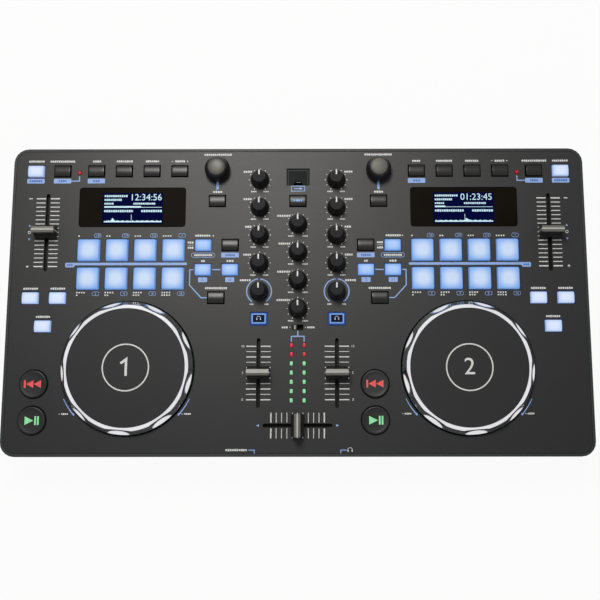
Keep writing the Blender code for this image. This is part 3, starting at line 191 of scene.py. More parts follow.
class ControllerSizes(bpy.types.PropertyGroup):
    key_crown: number_property("Key crown", "How far the top of a small key bows up", 0.0009)
    key_rise: number_property("Key rise", "Height of a small key's top over the plate", 0.0022)
    key_bevel: number_property("Key edge", "Rounding of a small key's top edge", 0.0004, 0.0001)
    pad_crown: number_property("Pad crown", "How far the soft top of a pad swells", 0.0004)
    pad_bevel: number_property("Pad edge", "Rounding of a pad's top edge", 0.0007, 0.0001)
    knob_flutes: IntProperty(name="Knob flutes", description="Grip flutes round each knob", default=18, min=3)
    knob_flute_depth: number_property("Flute depth", "Depth of the grip flutes", 0.00028)
    scallops: IntProperty(name="Jog scallops", description="Finger dents round each jog wheel", default=9,
                          min=3)
    lip_dip: number_property("Lip dip", "How far a finger dent cuts into the bright lip", 0.0013)
    scallop_half_turn: number_property("Scallop reach", "Half of the turn that a dent takes",
                                       math.radians(11.0), 0.01, "ROTATION")
    edge_bevel: number_property("Edge rounding", "Rounding added to the sharp edges of solid parts",
                                0.00018, 0.00001)


class StudioSettings(bpy.types.PropertyGroup):
    key_power: number_property("Key light", "Power of the soft lamp high behind the controller",
                               5.4, 0.0, "POWER")
    card_power: number_property("Sheen card", "Power of the card that only glossy surfaces show",
                                13.5, 0.0, "POWER")
    ambient: number_property("Ambient", "Strength of the plain surrounding light", 0.42, 0.0, "NONE")
    white_floor: BoolProperty(name="White floor", description="Show the floor as white paper", default=True)


class ControllerLook(bpy.types.PropertyGroup):
    colours: PointerProperty(type=ControllerColours, name="Colours", description="Colours of the finishes")
    sizes: PointerProperty(type=ControllerSizes, name="Sizes", description="Sizes of the fine forms")
    studio: PointerProperty(type=StudioSettings, name="Studio", description="Light and floor")


class Value:
    """A socket in a shader graph. Written in sums, it adds the Math nodes that work them out."""

    def __init__(self, graph, socket):
        self.graph = graph
        self.socket = socket

    def out(self, name):
        return Value(self.graph, self.socket.node.outputs[name])

    def math(self, operation, first, second=None, third=None):
        inputs = {index: value for index, value in enumerate((first, second, third)) if value is not None}
        return self.graph.node("ShaderNodeMath", {"operation": operation}, inputs)

    def __add__(self, other):
        return self.math("ADD", self, other)

    __radd__ = __add__

    def __sub__(self, other):
        return self.math("SUBTRACT", self, other)

    def __rsub__(self, other):
        return self.math("SUBTRACT", other, self)

    def __mul__(self, other):
        return self.math("MULTIPLY", self, other)

    __rmul__ = __mul__

    def __truediv__(self, other):
        return self.math("DIVIDE", self, other)

    def __rtruediv__(self, other):
        return self.math("DIVIDE", other, self)

    def __pow__(self, other):
        return self.math("POWER", self, other)

    def __gt__(self, other):
        return self.math("GREATER_THAN", self, other)

    def absolute(self):
        return self.math("ABSOLUTE", self)

    def larger(self, other):
        return self.math("MAXIMUM", self, other)

    def smaller(self, other):
        return self.math("MINIMUM", self, other)

    def spread(self, low, high, to_low=0.0, to_high=1.0):
        """This value eased from one range to another, and held at its ends."""
        inputs = {"Value": self, "From Min": low, "From Max": high, "To Min": to_low, "To Max": to_high}
        return self.graph.node("ShaderNodeMapRange", {"interpolation_type": "SMOOTHSTEP"}, inputs)


class Graph:
    """One material, or the world, and its nodes."""

    def __init__(self, name, kind="materials"):
        self.material = getattr(bpy.data, kind).new(name)
        self.material.use_nodes = True
        self.tree = self.material.node_tree
        self.tree.nodes.clear()

    def node(self, kind, settings=None, inputs=None, output=0):
        made = self.tree.nodes.new(kind)
        for key, value in (settings or {}).items():
            setattr(made, key, value)
        for key, value in (inputs or {}).items():
            if isinstance(value, Value):
                self.tree.links.new(value.socket, made.inputs[key])
            else:
                made.inputs[key].default_value = value
        return Value(self, made.outputs[output])

    def mix(self, factor, first, second, blend="MIX"):
        """A colour between two colours."""
        first, second = (value if isinstance(value, Value) else (*value, 1.0) for value in (first, second))
        settings = {"data_type": "RGBA", "blend_type": blend, "clamp_factor": True}
        return self.node("ShaderNodeMix", settings, {0: factor, 6: first, 7: second}, 2)

    def place(self):
        return self.node("ShaderNodeTexCoord", output="Object")

    def stretch(self, vector, scale):
        return self.node("ShaderNodeVectorMath", {"operation": "MULTIPLY"}, {0: vector, 1: scale})

    def noise(self, vector, scale, detail=3.0, roughness=0.5):
        inputs = {"Vector": vector, "Scale": scale, "Detail": detail, "Roughness": roughness}
        return self.node("ShaderNodeTexNoise", {}, inputs)

    def bump(self, height, distance, strength=1.0, normal=None):
        inputs = {"Height": height, "Distance": distance, "Strength": strength}
        if normal is not None:
            inputs["Normal"] = normal
        return self.node("ShaderNodeBump", {}, inputs)

    def edges(self):
        """1 on worn outer edges, 0 elsewhere."""
        return self.node("ShaderNodeNewGeometry", output="Pointiness").spread(0.515, 0.58)

    def across_cap(self):
        """How far a point lies from the middle of its cap, along X and Y: 0 in the middle, 1 at the side."""
        across = self.node("ShaderNodeUVMap", {"uv_map": CAP_MAP})
        parts = self.node("ShaderNodeSeparateXYZ", {}, {"Vector": across})
        return [(parts.out(axis) * 2.0 - 1.0).absolute() for axis in ("X", "Y")]

    def principled(self, **inputs):
        """A Principled shader; plain names are its sockets with _ for a space."""
        sockets = {}
        for key, value in inputs.items():
            socket = " ".join(word if word == "IOR" else word.capitalize() for word in key.split("_"))
            is_colour = isinstance(value, tuple) and len(value) == 3
            sockets[socket] = (*value, 1.0) if is_colour else value
        return self.node("ShaderNodeBsdfPrincipled", {}, sockets)

    def surface(self, **inputs):
        """Finish the material with one Principled shader."""
        self.node_output(self.principled(**inputs))
        return self.material

    def node_output(self, shader, kind="ShaderNodeOutputMaterial"):
        made = self.tree.nodes.new(kind)
        self.tree.links.new(shader.socket, made.inputs["Surface"])


def tinted(colour, factor):
    """The same colour, lighter or darker."""
    return tuple(min(1.0, part * factor) for part in colour)


@functools.lru_cache(maxsize=None)
def moulded(name, colour, roughness, grain=2600.0, depth=0.00004, specular=0.5, contrast=0.16, wear=1.5):
    """Moulded plastic or rubber: a fine spark-eroded grain, uneven gloss and slightly polished edges."""
    graph = Graph(name)
    place = graph.place()
    fine = graph.noise(place, grain, 2.0)
    cloudy = graph.noise(place, 26.0, 4.0)
    shade = graph.mix(cloudy.spread(0.3, 0.7), tinted(colour, 1 - contrast), tinted(colour, 1 + contrast))
    shade = graph.mix(graph.edges() * 0.6, shade, tinted(colour, wear))
    rough = cloudy.spread(0.25, 0.75, roughness - 0.05, roughness + 0.05) + fine * 0.06 - graph.edges() * 0.08
    return graph.surface(base_color=shade, roughness=rough, specular_IOR_level=specular,
                         normal=graph.bump(fine, depth, 0.5))


@functools.lru_cache(maxsize=None)
def brushed_plate(colour):
    """Black anodised metal, brushed along the width."""
    graph = Graph("brushed_plate")
    place = graph.place()
    streaks = graph.noise(graph.stretch(place, (34.0, 2300.0, 1.0)), 1.0, 4.0, 0.6)
    fine = graph.noise(graph.stretch(place, (260.0, 5200.0, 1.0)), 1.0, 2.0)
    cloudy = graph.noise(place, 7.0, 3.0)
    line = streaks * 0.6 + fine * 0.4
    shade = graph.mix(line.spread(0.32, 0.68), tinted(colour, 0.86), tinted(colour, 1.16))
    shade = graph.mix(cloudy.spread(0.3, 0.7) * 0.35, shade, tinted(colour, 0.88))
    rough = line.spread(0.3, 0.7, 0.43, 0.49) + cloudy * 0.02
    return graph.surface(base_color=shade, roughness=rough, specular_IOR_level=0.20,
                         normal=graph.bump(line, 0.000006, 0.25))


@functools.lru_cache(maxsize=None)
def board_finish():
    """Green solder mask, with black plastic parts that stand on it."""
    graph = Graph("circuit_board")
    place = graph.place()
    height = graph.node("ShaderNodeSeparateXYZ", {}, {"Vector": place}, "Z")
    part = height > PLATE_LOW.z - BOARD_DROP
    tracks = graph.noise(place, 420.0, 2.0).spread(0.48, 0.56)
    mask = graph.mix(tracks, srgb(10, 62, 38), srgb(24, 88, 52))
    shade = graph.mix(part, mask, srgb(6, 6, 6))
    return graph.surface(base_color=shade, roughness=tracks * 0.1 + 0.50, specular_IOR_level=0.10)


@functools.lru_cache(maxsize=None)
def polished(name, colour, roughness, swirl=0.04):
    """Plated or polished metal, with faint smears in its gloss."""
    graph = Graph(name)
    place = graph.place()
    smear = graph.noise(place, 60.0, 5.0, 0.6)
    fine = graph.noise(place, 1800.0, 2.0)
    shade = graph.mix(smear.spread(0.35, 0.65), tinted(colour, 0.96), tinted(colour, 1.03))
    rough = smear.spread(0.3, 0.7, roughness, roughness + swirl) + fine * 0.01
    return graph.surface(base_color=shade, metallic=1.0, roughness=rough,
                         normal=graph.bump(fine, 0.000004, 0.3))


@functools.lru_cache(maxsize=None)
def ink(name, colour):
    """Screen-printed ink, a little uneven."""
    graph = Graph(name)
    speck = graph.noise(graph.place(), 3200.0, 2.0)
    shade = graph.mix(speck.spread(0.3, 0.55), tinted(colour, 0.80), colour)
    return graph.surface(base_color=shade, roughness=speck * 0.1 + 0.5, specular_IOR_level=0.3)


@functools.lru_cache(maxsize=None)
def glowing(name, centre, edge, power=0.86, reach=0.62, squareness=2.6):
    """Lit translucent plastic: a pale middle that falls off to a deeper colour at the edges of each cap."""
    graph = Graph(name)
    u, v = graph.across_cap()
    distance = (u ** squareness + v ** squareness) ** (1 / squareness)
    cloudy = graph.noise(graph.place(), 190.0, 2.0)
    fade = (distance + (cloudy - 0.5) * 0.10).spread(reach - 0.45, reach + 0.45)
    border = u.larger(v).spread(0.90, 0.98)
    light = graph.mix(border * 0.60, graph.mix(fade, centre, edge), tinted(edge, 0.55))
    in_gap = u.larger(v) > CAP_EDGE
    light = graph.mix(in_gap, light, srgb(20, 38, 92))
    grain = graph.noise(graph.place(), 2400.0, 2.0)
    body = graph.mix(fade, tinted(centre, 0.10), tinted(edge, 0.10))
    return graph.surface(base_color=graph.mix(in_gap, body, srgb(12, 16, 30)), specular_IOR_level=0.15,
                         roughness=grain * 0.12 + 0.42, emission_color=light, emission_strength=power,
                         normal=graph.bump(grain, 0.00002, 0.4))


@functools.lru_cache(maxsize=None)
def key_finish_with_painted_side_shade(colour):
    """Satin black key caps, with painted near-black shade on their sides and where their flanges show in the
    gaps.
    """
    graph = Graph("dark_key")
    u, v = graph.across_cap()
    # Painted shade: the outer edge of the cap's top, its sides and the flange in the gap are made near black,
    # as if shaded
    in_gap = u.larger(v) > CAP_SIDE_SHADE_START
    place = graph.place()
    cloudy = graph.noise(place, 40.0, 4.0)
    grain = graph.noise(place, 2200.0, 2.0)
    shade = graph.mix(cloudy.spread(0.3, 0.7), tinted(colour, 0.88), tinted(colour, 1.12))
    shade = graph.mix(graph.edges() * 0.5, shade, tinted(colour, 1.6))
    cap = graph.principled(base_color=shade, roughness=cloudy * 0.06 + grain * 0.05 + 0.26,
                           specular_IOR_level=0.18, normal=graph.bump(grain, 0.00001, 0.3))
    # Painted shade in the gaps round the cap: near black, with no reflection
    gap = graph.principled(base_color=srgb(4, 4, 4), roughness=0.6, specular_IOR_level=0.0)
    graph.node_output(graph.node("ShaderNodeMixShader", {}, {0: in_gap, 1: cap, 2: gap}))
    return graph.material


@functools.lru_cache(maxsize=None)
def lamp(name, colour, power=0.9, specular=0.12):
    """A lit lens or mark: brighter in its grain, with a clear gloss."""
    graph = Graph(name)
    cloudy = graph.noise(graph.place(), 700.0, 2.0)
    light = graph.mix(cloudy.spread(0.3, 0.7), tinted(colour, 0.86), tinted(colour, 1.08))
    return graph.surface(base_color=tinted(colour, 0.12), roughness=cloudy * 0.1 + 0.30,
                         specular_IOR_level=specular, emission_color=light, emission_strength=power)


@functools.lru_cache(maxsize=None)
def window_finish(colour):
    """Tinted gloss plastic over a display."""
    graph = Graph("display_window")
    smear = graph.noise(graph.place(), 40.0, 4.0)
    shade = graph.mix(smear.spread(0.3, 0.7), tinted(colour, 0.85), tinted(colour, 1.15))
    return graph.surface(base_color=shade, roughness=smear * 0.08 + 0.40, specular_IOR_level=0.01)


@functools.lru_cache(maxsize=None)
def disc_finish(colour):
    """The jog wheel's satin top, cloudy and finely grained."""
    graph = Graph("jog_disc")
    place = graph.place()
    cloudy = graph.noise(place, 18.0, 4.0)
    fine = graph.noise(place, 2800.0, 2.0)
    shade = graph.mix(cloudy.spread(0.3, 0.7), tinted(colour, 0.93), tinted(colour, 1.07))
    return graph.surface(base_color=shade, roughness=cloudy * 0.08 + fine * 0.05 + 0.46,
                         specular_IOR_level=0.15, normal=graph.bump(fine, 0.00003, 0.4))


@functools.lru_cache(maxsize=None)
def ridge_finish(colour, along_x):
    """Satin grip bar of a fader, brushed along its length."""
    graph = Graph("grip_bar_across" if along_x else "grip_bar")
    scale = (3200.0, 60.0, 60.0) if along_x else (60.0, 3200.0, 60.0)
    streaks = graph.noise(graph.stretch(graph.place(), scale), 1.0, 3.0)
    shade = graph.mix(streaks.spread(0.35, 0.65), tinted(colour, 0.85), tinted(colour, 1.12))
    return graph.surface(base_color=shade, metallic=0.25, roughness=streaks * 0.12 + 0.40,
                         specular_IOR_level=0.25, normal=graph.bump(streaks, 0.00001, 0.4))


def place_ring(ring, height=None):
    return [(x, y, height) for x, y in ring]


def stack(maker, rings, closed=False):
    """Skin rings of equal count; ends are capped, or joined to each other when closed."""
    made = [[maker.verts.new(point) for point in ring] for ring in rings]
    pairs = list(zip(made, made[1:]))
    if closed:
        pairs.append((made[-1], made[0]))
    count = len(made[0])
    faces = []
    for lower, upper in pairs:
        for index in range(count):
            after = (index + 1) % count
            faces.append(maker.faces.new((lower[index], lower[after], upper[after], upper[index])))
    if not closed:
        faces.append(maker.faces.new(made[0]))
        faces.append(maker.faces.new(made[-1]))
    return faces


def rounded(width, depth, radius, arc=4, straight=1, centre=(0, 0)):
    """Points of a rectangle with round corners, with its straight runs cut into equal steps."""
    corners = []
    for side_x, side_y, start in ((1, 1, 0.0), (-1, 1, 0.25), (-1, -1, 0.5), (1, -1, 0.75)):
        middle_x, middle_y = side_x * (width / 2 - radius), side_y * (depth / 2 - radius)
        turns = [math.tau * (start + 0.25 * step / arc) for step in range(arc + 1)]
        corners.append([(middle_x + radius * math.cos(t), middle_y + radius * math.sin(t)) for t in turns])
    points = []
    for index, corner in enumerate(corners):
        points += corner
        last, after = corner[-1], corners[(index + 1) % 4][0]
        for step in range(1, straight):
            share = step / straight
            points.append((last[0] + (after[0] - last[0]) * share, last[1] + (after[1] - last[1]) * share))
    return [(centre[0] + x, centre[1] + y) for x, y in points]


def circle(radius, count, centre=(0, 0), start=0.0):
    turns = [start + math.tau * index / count for index in range(count)]
    return [(centre[0] + radius * math.cos(t), centre[1] + radius * math.sin(t)) for t in turns]


def lathe(maker, centre, profile, count, closed=False):
    """A turned shape from (radius, height) pairs."""
    rings = [place_ring(circle(radius, count, centre), height) for radius, height in profile]
    return stack(maker, rings, closed)


def add_slab(maker, outline, low, high):
    return stack(maker, [place_ring(outline, low), place_ring(outline, high)])


def add_piece(name, maker, material, body, replaces=(), angle=SMOOTH_ANGLE):
    """Turn a finished bmesh into a piece that rides on a body."""
    bmesh.ops.recalc_face_normals(maker, faces=maker.faces)
    mesh = bpy.data.meshes.new(name)
    maker.to_mesh(mesh)
    maker.free()
    mesh.shade_smooth()
    mesh.set_sharp_from_angle(angle=angle)
    mesh.materials.append(material)
    piece = bpy.data.objects.new(name, mesh)
    bpy.context.scene.collection.objects.link(piece)
    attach(piece, body)
    if replaces:
        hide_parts(*replaces)
    return piece


def turned_piece(name, centre, profile, count, finish, body, replaces=(), closed=False, place=None):
    """A piece turned from (radius, height) pairs, which a place matrix carries there from the origin."""
    maker = bmesh.new()
    lathe(maker, centre, profile, count, closed)
    if place is not None:
        bmesh.ops.transform(maker, matrix=place, verts=maker.verts)
    return add_piece(name, maker, finish, body, replaces)


def round_edges(piece, width, angle=math.radians(32), harden=True):
    """Round the sharp edges of a piece."""
    bevel = piece.modifiers.new("Rounded edges", "BEVEL")
    bevel.width = width
    bevel.segments = 2
    bevel.limit_method = "ANGLE"
    bevel.angle_limit = angle
    bevel.harden_normals = harden


@functools.lru_cache(maxsize=None)
def smooth_by_angle():
    """A node group that shades a mesh smooth except across sharp edges."""
    group = bpy.data.node_groups.new("Smooth except sharp edges", "GeometryNodeTree")
    group.interface.new_socket("Geometry", in_out="INPUT", socket_type="NodeSocketGeometry")
    group.interface.new_socket("Geometry", in_out="OUTPUT", socket_type="NodeSocketGeometry")
    start = group.nodes.new("NodeGroupInput")
    end = group.nodes.new("NodeGroupOutput")
    faces = group.nodes.new("GeometryNodeSetShadeSmooth")
    edges = group.nodes.new("GeometryNodeSetShadeSmooth")
    edges.domain = "EDGE"
    angle = group.nodes.new("GeometryNodeInputMeshEdgeAngle")
    sharp = group.nodes.new("FunctionNodeCompare")
    sharp.operation = "GREATER_THAN"
    sharp.inputs["B"].default_value = SMOOTH_ANGLE
    edges.inputs["Shade Smooth"].default_value = False
    links = group.links
    links.new(start.outputs["Geometry"], faces.inputs["Geometry"])
    links.new(faces.outputs["Geometry"], edges.inputs["Geometry"])
    links.new(angle.outputs["Unsigned Angle"], sharp.inputs["A"])
    links.new(sharp.outputs["Result"], edges.inputs["Selection"])
    links.new(edges.outputs["Geometry"], end.inputs["Geometry"])
    return group


def dress_node(name, material, edge=None):
    """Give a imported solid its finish, joined facets, rounded edges and smooth shading."""
    node = frame["nodes"][name]
    for index in range(len(node.material_slots)):
        node.material_slots[index].material = material
    weld = node.modifiers.new("Joined facets", "WELD")
    weld.merge_threshold = 0.000002
    if edge:
        round_edges(node, edge, math.radians(40), False)
    smooth = node.modifiers.new("Smooth shading", "NODES")
    smooth.node_group = smooth_by_angle()
    level_faces(node)


def level_faces(holder):
    """Shade large faces flat up to their edges, and let the small ones between them take the bend."""
    level = holder.modifiers.new("Level faces", "WEIGHTED_NORMAL")
    level.keep_sharp = True
    level.weight = 100


def middle(name):
    """The middle of a node in plan."""
    low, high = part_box(name)
    return (low.x + high.x) / 2, (low.y + high.y) / 2


def extent(name):
    low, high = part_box(name)
    return high - low


def cap_size(name):
    """Width and depth of the hole round a single key, from its node's flange."""
    size = extent(name)
    return size.x - 2 * FLANGE, size.y - 2 * FLANGE


def row_middles(name, count, single):
    """Middles of the keys in one row that share a node, from left to right."""
    low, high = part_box(name)
    half = extent(single).x / 2
    first, last = low.x + half, high.x - half
    y = (low.y + high.y) / 2
    return [(first + (last - first) * index / (count - 1), y) for index in range(count)]


def trio_middles(name, single):
    """Middles of a node's two upper keys, left one first, and of the key below them."""
    low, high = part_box(name)
    half = extent(single) / 2
    x = (low.x + high.x) / 2
    return [(low.x + half.x, high.y - half.y), (high.x - half.x, high.y - half.y), (x, low.y + half.y)]


def pad_middles(side_name):
    """Middles of a deck's pads, row by row from the top left."""
    low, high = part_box(side_name + "_pads")
    inset = FLANGE + PAD_SIZE / 2
    places = []
    for row in range(PAD_ROWS):
        y = high.y - inset - row * (high.y - low.y - 2 * inset) / (PAD_ROWS - 1)
        for column in range(PAD_COLUMNS):
            places.append((low.x + inset + column * (high.x - low.x - 2 * inset) / (PAD_COLUMNS - 1), y))
    return places


def deck_keys(side_name):
    """Middles of every small key of one deck by its use."""
    single = side_name + "_back_key"
    loop = trio_middles(side_name + "_loop_keys", single)
    mode = trio_middles(side_name + "_mode_keys", single)
    return {
        "key_lock": [middle(side_name + "_key_lock_key")],
        "bpm_tap": [middle(side_name + "_bpm_tap_key")],
        "track": row_middles(side_name + "_track_keys", 4, single),
        "back": [middle(single)],
        "hot_cue": [middle(side_name + "_hot_cue_key")],
        "shift": [middle(side_name + "_shift_key")],
        "loop": loop[:2],
        "reloop": loop[2:],
        "mode": mode,
    }


def add_cap(maker, centre, width, depth, corner, edge, bevel, crown, stem_low, straight=6):
    """A cap on its flange and stem: straight sides, a rounded edge and a bowed top, with a map across it."""
    across = maker.loops.layers.uv.get(CAP_MAP) or maker.loops.layers.uv.new(CAP_MAP)
    flange_top = PLATE_TOP - FLANGE_DROP
    flange_low = flange_top - FLANGE_THICKNESS
    arc = 3

    def outline(inset):
        inner_corner = max(corner - inset, corner * 0.2)
        return rounded(width - 2 * inset, depth - 2 * inset, inner_corner, arc, straight, centre)

    def top(x, y):
        return edge + crown(2 * (x - centre[0]) / width, 2 * (y - centre[1]) / depth)

    flange = rounded(width + 2 * FLANGE, depth + 2 * FLANGE, corner, arc, straight, centre)
    rings = [place_ring(flange, flange_low), place_ring(flange, flange_top),
             place_ring(outline(0), flange_top)]
    for step in range(4):
        turn = math.pi / 2 * step / 3
        ring = outline(bevel * (1 - math.cos(turn)))
        rings.append([(x, y, top(x, y) - bevel * (1 - math.sin(turn))) for x, y in ring])
    last = outline(bevel)
    for share in (0.86, 0.7, 0.54, 0.38, 0.22, 0.06):
        ring = [(centre[0] + (x - centre[0]) * share, centre[1] + (y - centre[1]) * share) for x, y in last]
        rings.append([(x, y, top(x, y)) for x, y in ring])
    faces = stack(maker, rings)
    for face in faces:
        for loop in face.loops:
            x, y, _ = loop.vert.co
            loop[across].uv = ((x - centre[0]) / width + 0.5, (y - centre[1]) / depth + 0.5)
    stem = rounded(STEM, STEM, STEM * 0.1, 1, 1, centre)
    add_slab(maker, stem, stem_low, flange_low + FLANGE_THICKNESS / 4)


def make_key_piece(name, places, node, material, sizes):
    """One or more small keys with bowed tops, in place of their node."""
    shares_node = node.endswith(("_track_keys", "_loop_keys", "_mode_keys"))
    width, depth = cap_size(node.split("_")[0] + "_back_key" if shares_node else node)
    maker = bmesh.new()
    edge = PLATE_TOP + sizes.key_rise - sizes.key_crown
    for place in places:
        add_cap(maker, place, width - 2 * CAP_GAP, depth - 2 * CAP_GAP, 0.0007, edge, sizes.key_bevel,
                lambda u, v: sizes.key_crown * (1 - v * v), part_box(node)[0].z)
    return add_piece(name, maker, material, node, (node,))


class Print:
    """Ink on a level face: thin closed shapes, gathered in one mesh."""

    def __init__(self, top):
        self.maker = bmesh.new()
        self.low = top - PRINT_SINK
        self.high = top + PRINT_RISE
        self.layer = 0

    def shape(self, outline):
        """A closed shape, a hair higher or lower than the last, so that crossing shapes share no face."""
        self.layer = (self.layer + 1) % PRINT_LAYERS
        add_slab(self.maker, outline, self.low, self.high + self.layer * PRINT_LAYER_STEP)

    def bar(self, x, y, width, depth, corner=0.0):
        if corner:
            self.shape(rounded(width, depth, corner, 3, 1, (x, y)))
        else:
            corners = ((1, 1), (-1, 1), (-1, -1), (1, -1))
            self.shape([(x + side_x * width / 2, y + side_y * depth / 2) for side_x, side_y in corners])

    def outline(self, outer, inner):
        rings = [place_ring(outer, self.low), place_ring(outer, self.high), place_ring(inner, self.high),
                 place_ring(inner, self.low)]
        stack(self.maker, rings, closed=True)

    def frame(self, x, y, width, depth, corner, line):
        inner = rounded(width - 2 * line, depth - 2 * line, max(corner - line, corner * 0.2), 4, 1, (x, y))
        self.outline(rounded(width, depth, corner, 4, 1, (x, y)), inner)

    def ring(self, centre, radius, line, count=64):
        self.outline(circle(radius, count, centre), circle(radius - line, count, centre))

    def disc(self, x, y, radius, count=16):
        self.shape(circle(radius, count, (x, y)))

    def arc(self, centre, radius, line, start, end, steps=24, taper=1.0):
        """A curved line; with a taper it narrows from its start to its end."""
        outer, inner = [], []
        for step in range(steps + 1):
            share = step / steps
            turn = start + (end - start) * share
            half = line / 2 * (1 + (taper - 1) * share)
            spot = (math.cos(turn), math.sin(turn))
            outer.append((centre[0] + (radius + half) * spot[0], centre[1] + (radius + half) * spot[1]))
            inner.append((centre[0] + (radius - half) * spot[0], centre[1] + (radius - half) * spot[1]))
        self.shape(outer + inner[::-1])

    def path(self, points, line):
        """A line with mitred corners through points."""
        spots = [Vector(point) for point in points]
        left, right = [], []
        for index, spot in enumerate(spots):
            before = (spot - spots[index - 1]).normalized() if index else (spots[1] - spot).normalized()
            after = (spots[index + 1] - spot).normalized() if index + 1 < len(spots) else before
            side = (Vector((-before.y, before.x)) + Vector((-after.y, after.x))).normalized()
            reach = line / 2 / max(side.dot(Vector((-before.y, before.x))), 0.3)
            left.append(tuple(spot + side * reach))
            right.append(tuple(spot - side * reach))
        self.shape(left + right[::-1])

    def triangle(self, x, y, size, turn=0.0):
        """A small arrow head that points along a turn from +X."""
        self.shape([(x + size * math.cos(turn + part), y + size * math.sin(turn + part))
                    for part in (0.0, math.radians(125), math.radians(-125))])

    def dashes(self, x, y, width, height=LABEL_HEIGHT, align=0):
        """A neutral row of blocks where a word stands; align is -1, 0 or 1 for left, middle or right."""
        pitch = height * 0.98
        count = max(1, round(width / pitch))
        block = width / (count - 0.25) * 0.75
        start = x - width / 2 * (1 + align)
        for index in range(count):
            tall = height if index % 3 else height * 0.86
            self.bar(start + block / 2 + index * (width - block) / max(count - 1, 1), y, block, tall)

    def text(self, words, size, x, y, align="CENTER"):
        """Plain figures."""
        curve = bpy.data.curves.new("figures", "FONT")
        curve.body = words
        curve.size = size
        curve.align_x = align
        curve.align_y = "CENTER"
        curve.resolution_u = 3
        curve.extrude = (self.high - self.low) / 2
        holder = bpy.data.objects.new("figures", curve)
        bpy.context.scene.collection.objects.link(holder)
        bpy.context.view_layer.update()
        mesh = holder.evaluated_get(bpy.context.evaluated_depsgraph_get()).to_mesh()
        mesh.transform(Matrix.Translation((x, y, (self.high + self.low) / 2)))
        before = len(self.maker.verts)
        self.maker.from_mesh(mesh)
        holder.to_mesh_clear()
        bpy.data.objects.remove(holder, do_unlink=True)
        bpy.data.curves.remove(curve)
        self.maker.verts.ensure_lookup_table()
        bmesh.ops.remove_doubles(self.maker, verts=self.maker.verts[before:], dist=0.000001)

    def done(self, name, material, body, slot):
        return add_piece(name, self.maker, material, body)


def slide_range(name):
    """The lowest and highest travel of a fader's joint."""
    return next(joint for joint in frame["joints"] if joint["child"] == name)["range_m"]


def fader_ticks(name, along, scale_half, gap, count):
    """The number and middle of each of a fader's scale lines, from its joint's travel."""
    low, high = slide_range(name)
    x, y = middle(name)
    ticks = []
    for index in range(count):
        offset = low + (high - low) * index / (count - 1)
        for side in (-1, 1):
            across = side * (scale_half + gap) / 2
            ticks.append((index, (x + across, y + offset) if along == "y" else (x + offset, y + across)))
    return ticks


def print_scale(sheet, name, along, count, half, gap, thin, bold, bold_every):
    """The scale lines on both sides of a fader's slot, the end ones bold."""
    for index, (x, y) in fader_ticks(name, along, half, gap, count):
        strong = index in (0, count - 1) or (bold_every and index % bold_every == 0)
        line = bold if strong else thin
        width, depth = (half - gap, line) if along == "y" else (line, half - gap)
        sheet.bar(x, y, width, depth)


def print_dial(sheet, x, y, radius, small, large):
    """Eleven short ticks round a knob, larger at both ends."""
    for index in range(11):
        turn = math.radians(90 - 150 + 30 * index)
        ends = index in (0, 10)
        length, line = (large, large * 0.62) if ends else (small, small * 0.6)
        spot = Vector((math.cos(turn), math.sin(turn)))
        start = Vector((x, y)) + spot * (radius - length / 2)
        sheet.path([tuple(start), tuple(start + spot * length)], line)


LABEL_WIDTHS = {
    "key_lock": 0.0135, "bpm_tap": 0.0215, "track": (0.0070, 0.0140, 0.0115, 0.0085), "back": 0.0078,
    "hot_cue": 0.0130, "loop_in": 0.0030, "loop_out": 0.0060, "reloop": 0.0190, "mode": 0.0125,
    "reverse": 0.0120, "browse": 0.0240,
}
KNOB_NAME_WIDTHS = {
    "gain_knob": 0.0072, "high_knob": 0.0070, "mid_knob": 0.0054, "low_knob": 0.0068, "filter_knob": 0.0092,
    "master_knob": 0.0114, "booth_knob": 0.0100, "cue_volume_knob": 0.0112, "cue_mix_knob": 0.0116,
}
PAD_LABELS = ("1/8", "1/4", "1/2", "1", "2", "4", "8", "16")


def print_tag(blue, deep, x, y, word_width):
    """A filled tag under a key, with a neutral word in it."""
    blue.bar(x, y - TAG_OFFSET, TAG_WIDTH, TAG_DEPTH, TAG_CORNER)
    deep.dashes(x, y - TAG_OFFSET, word_width)


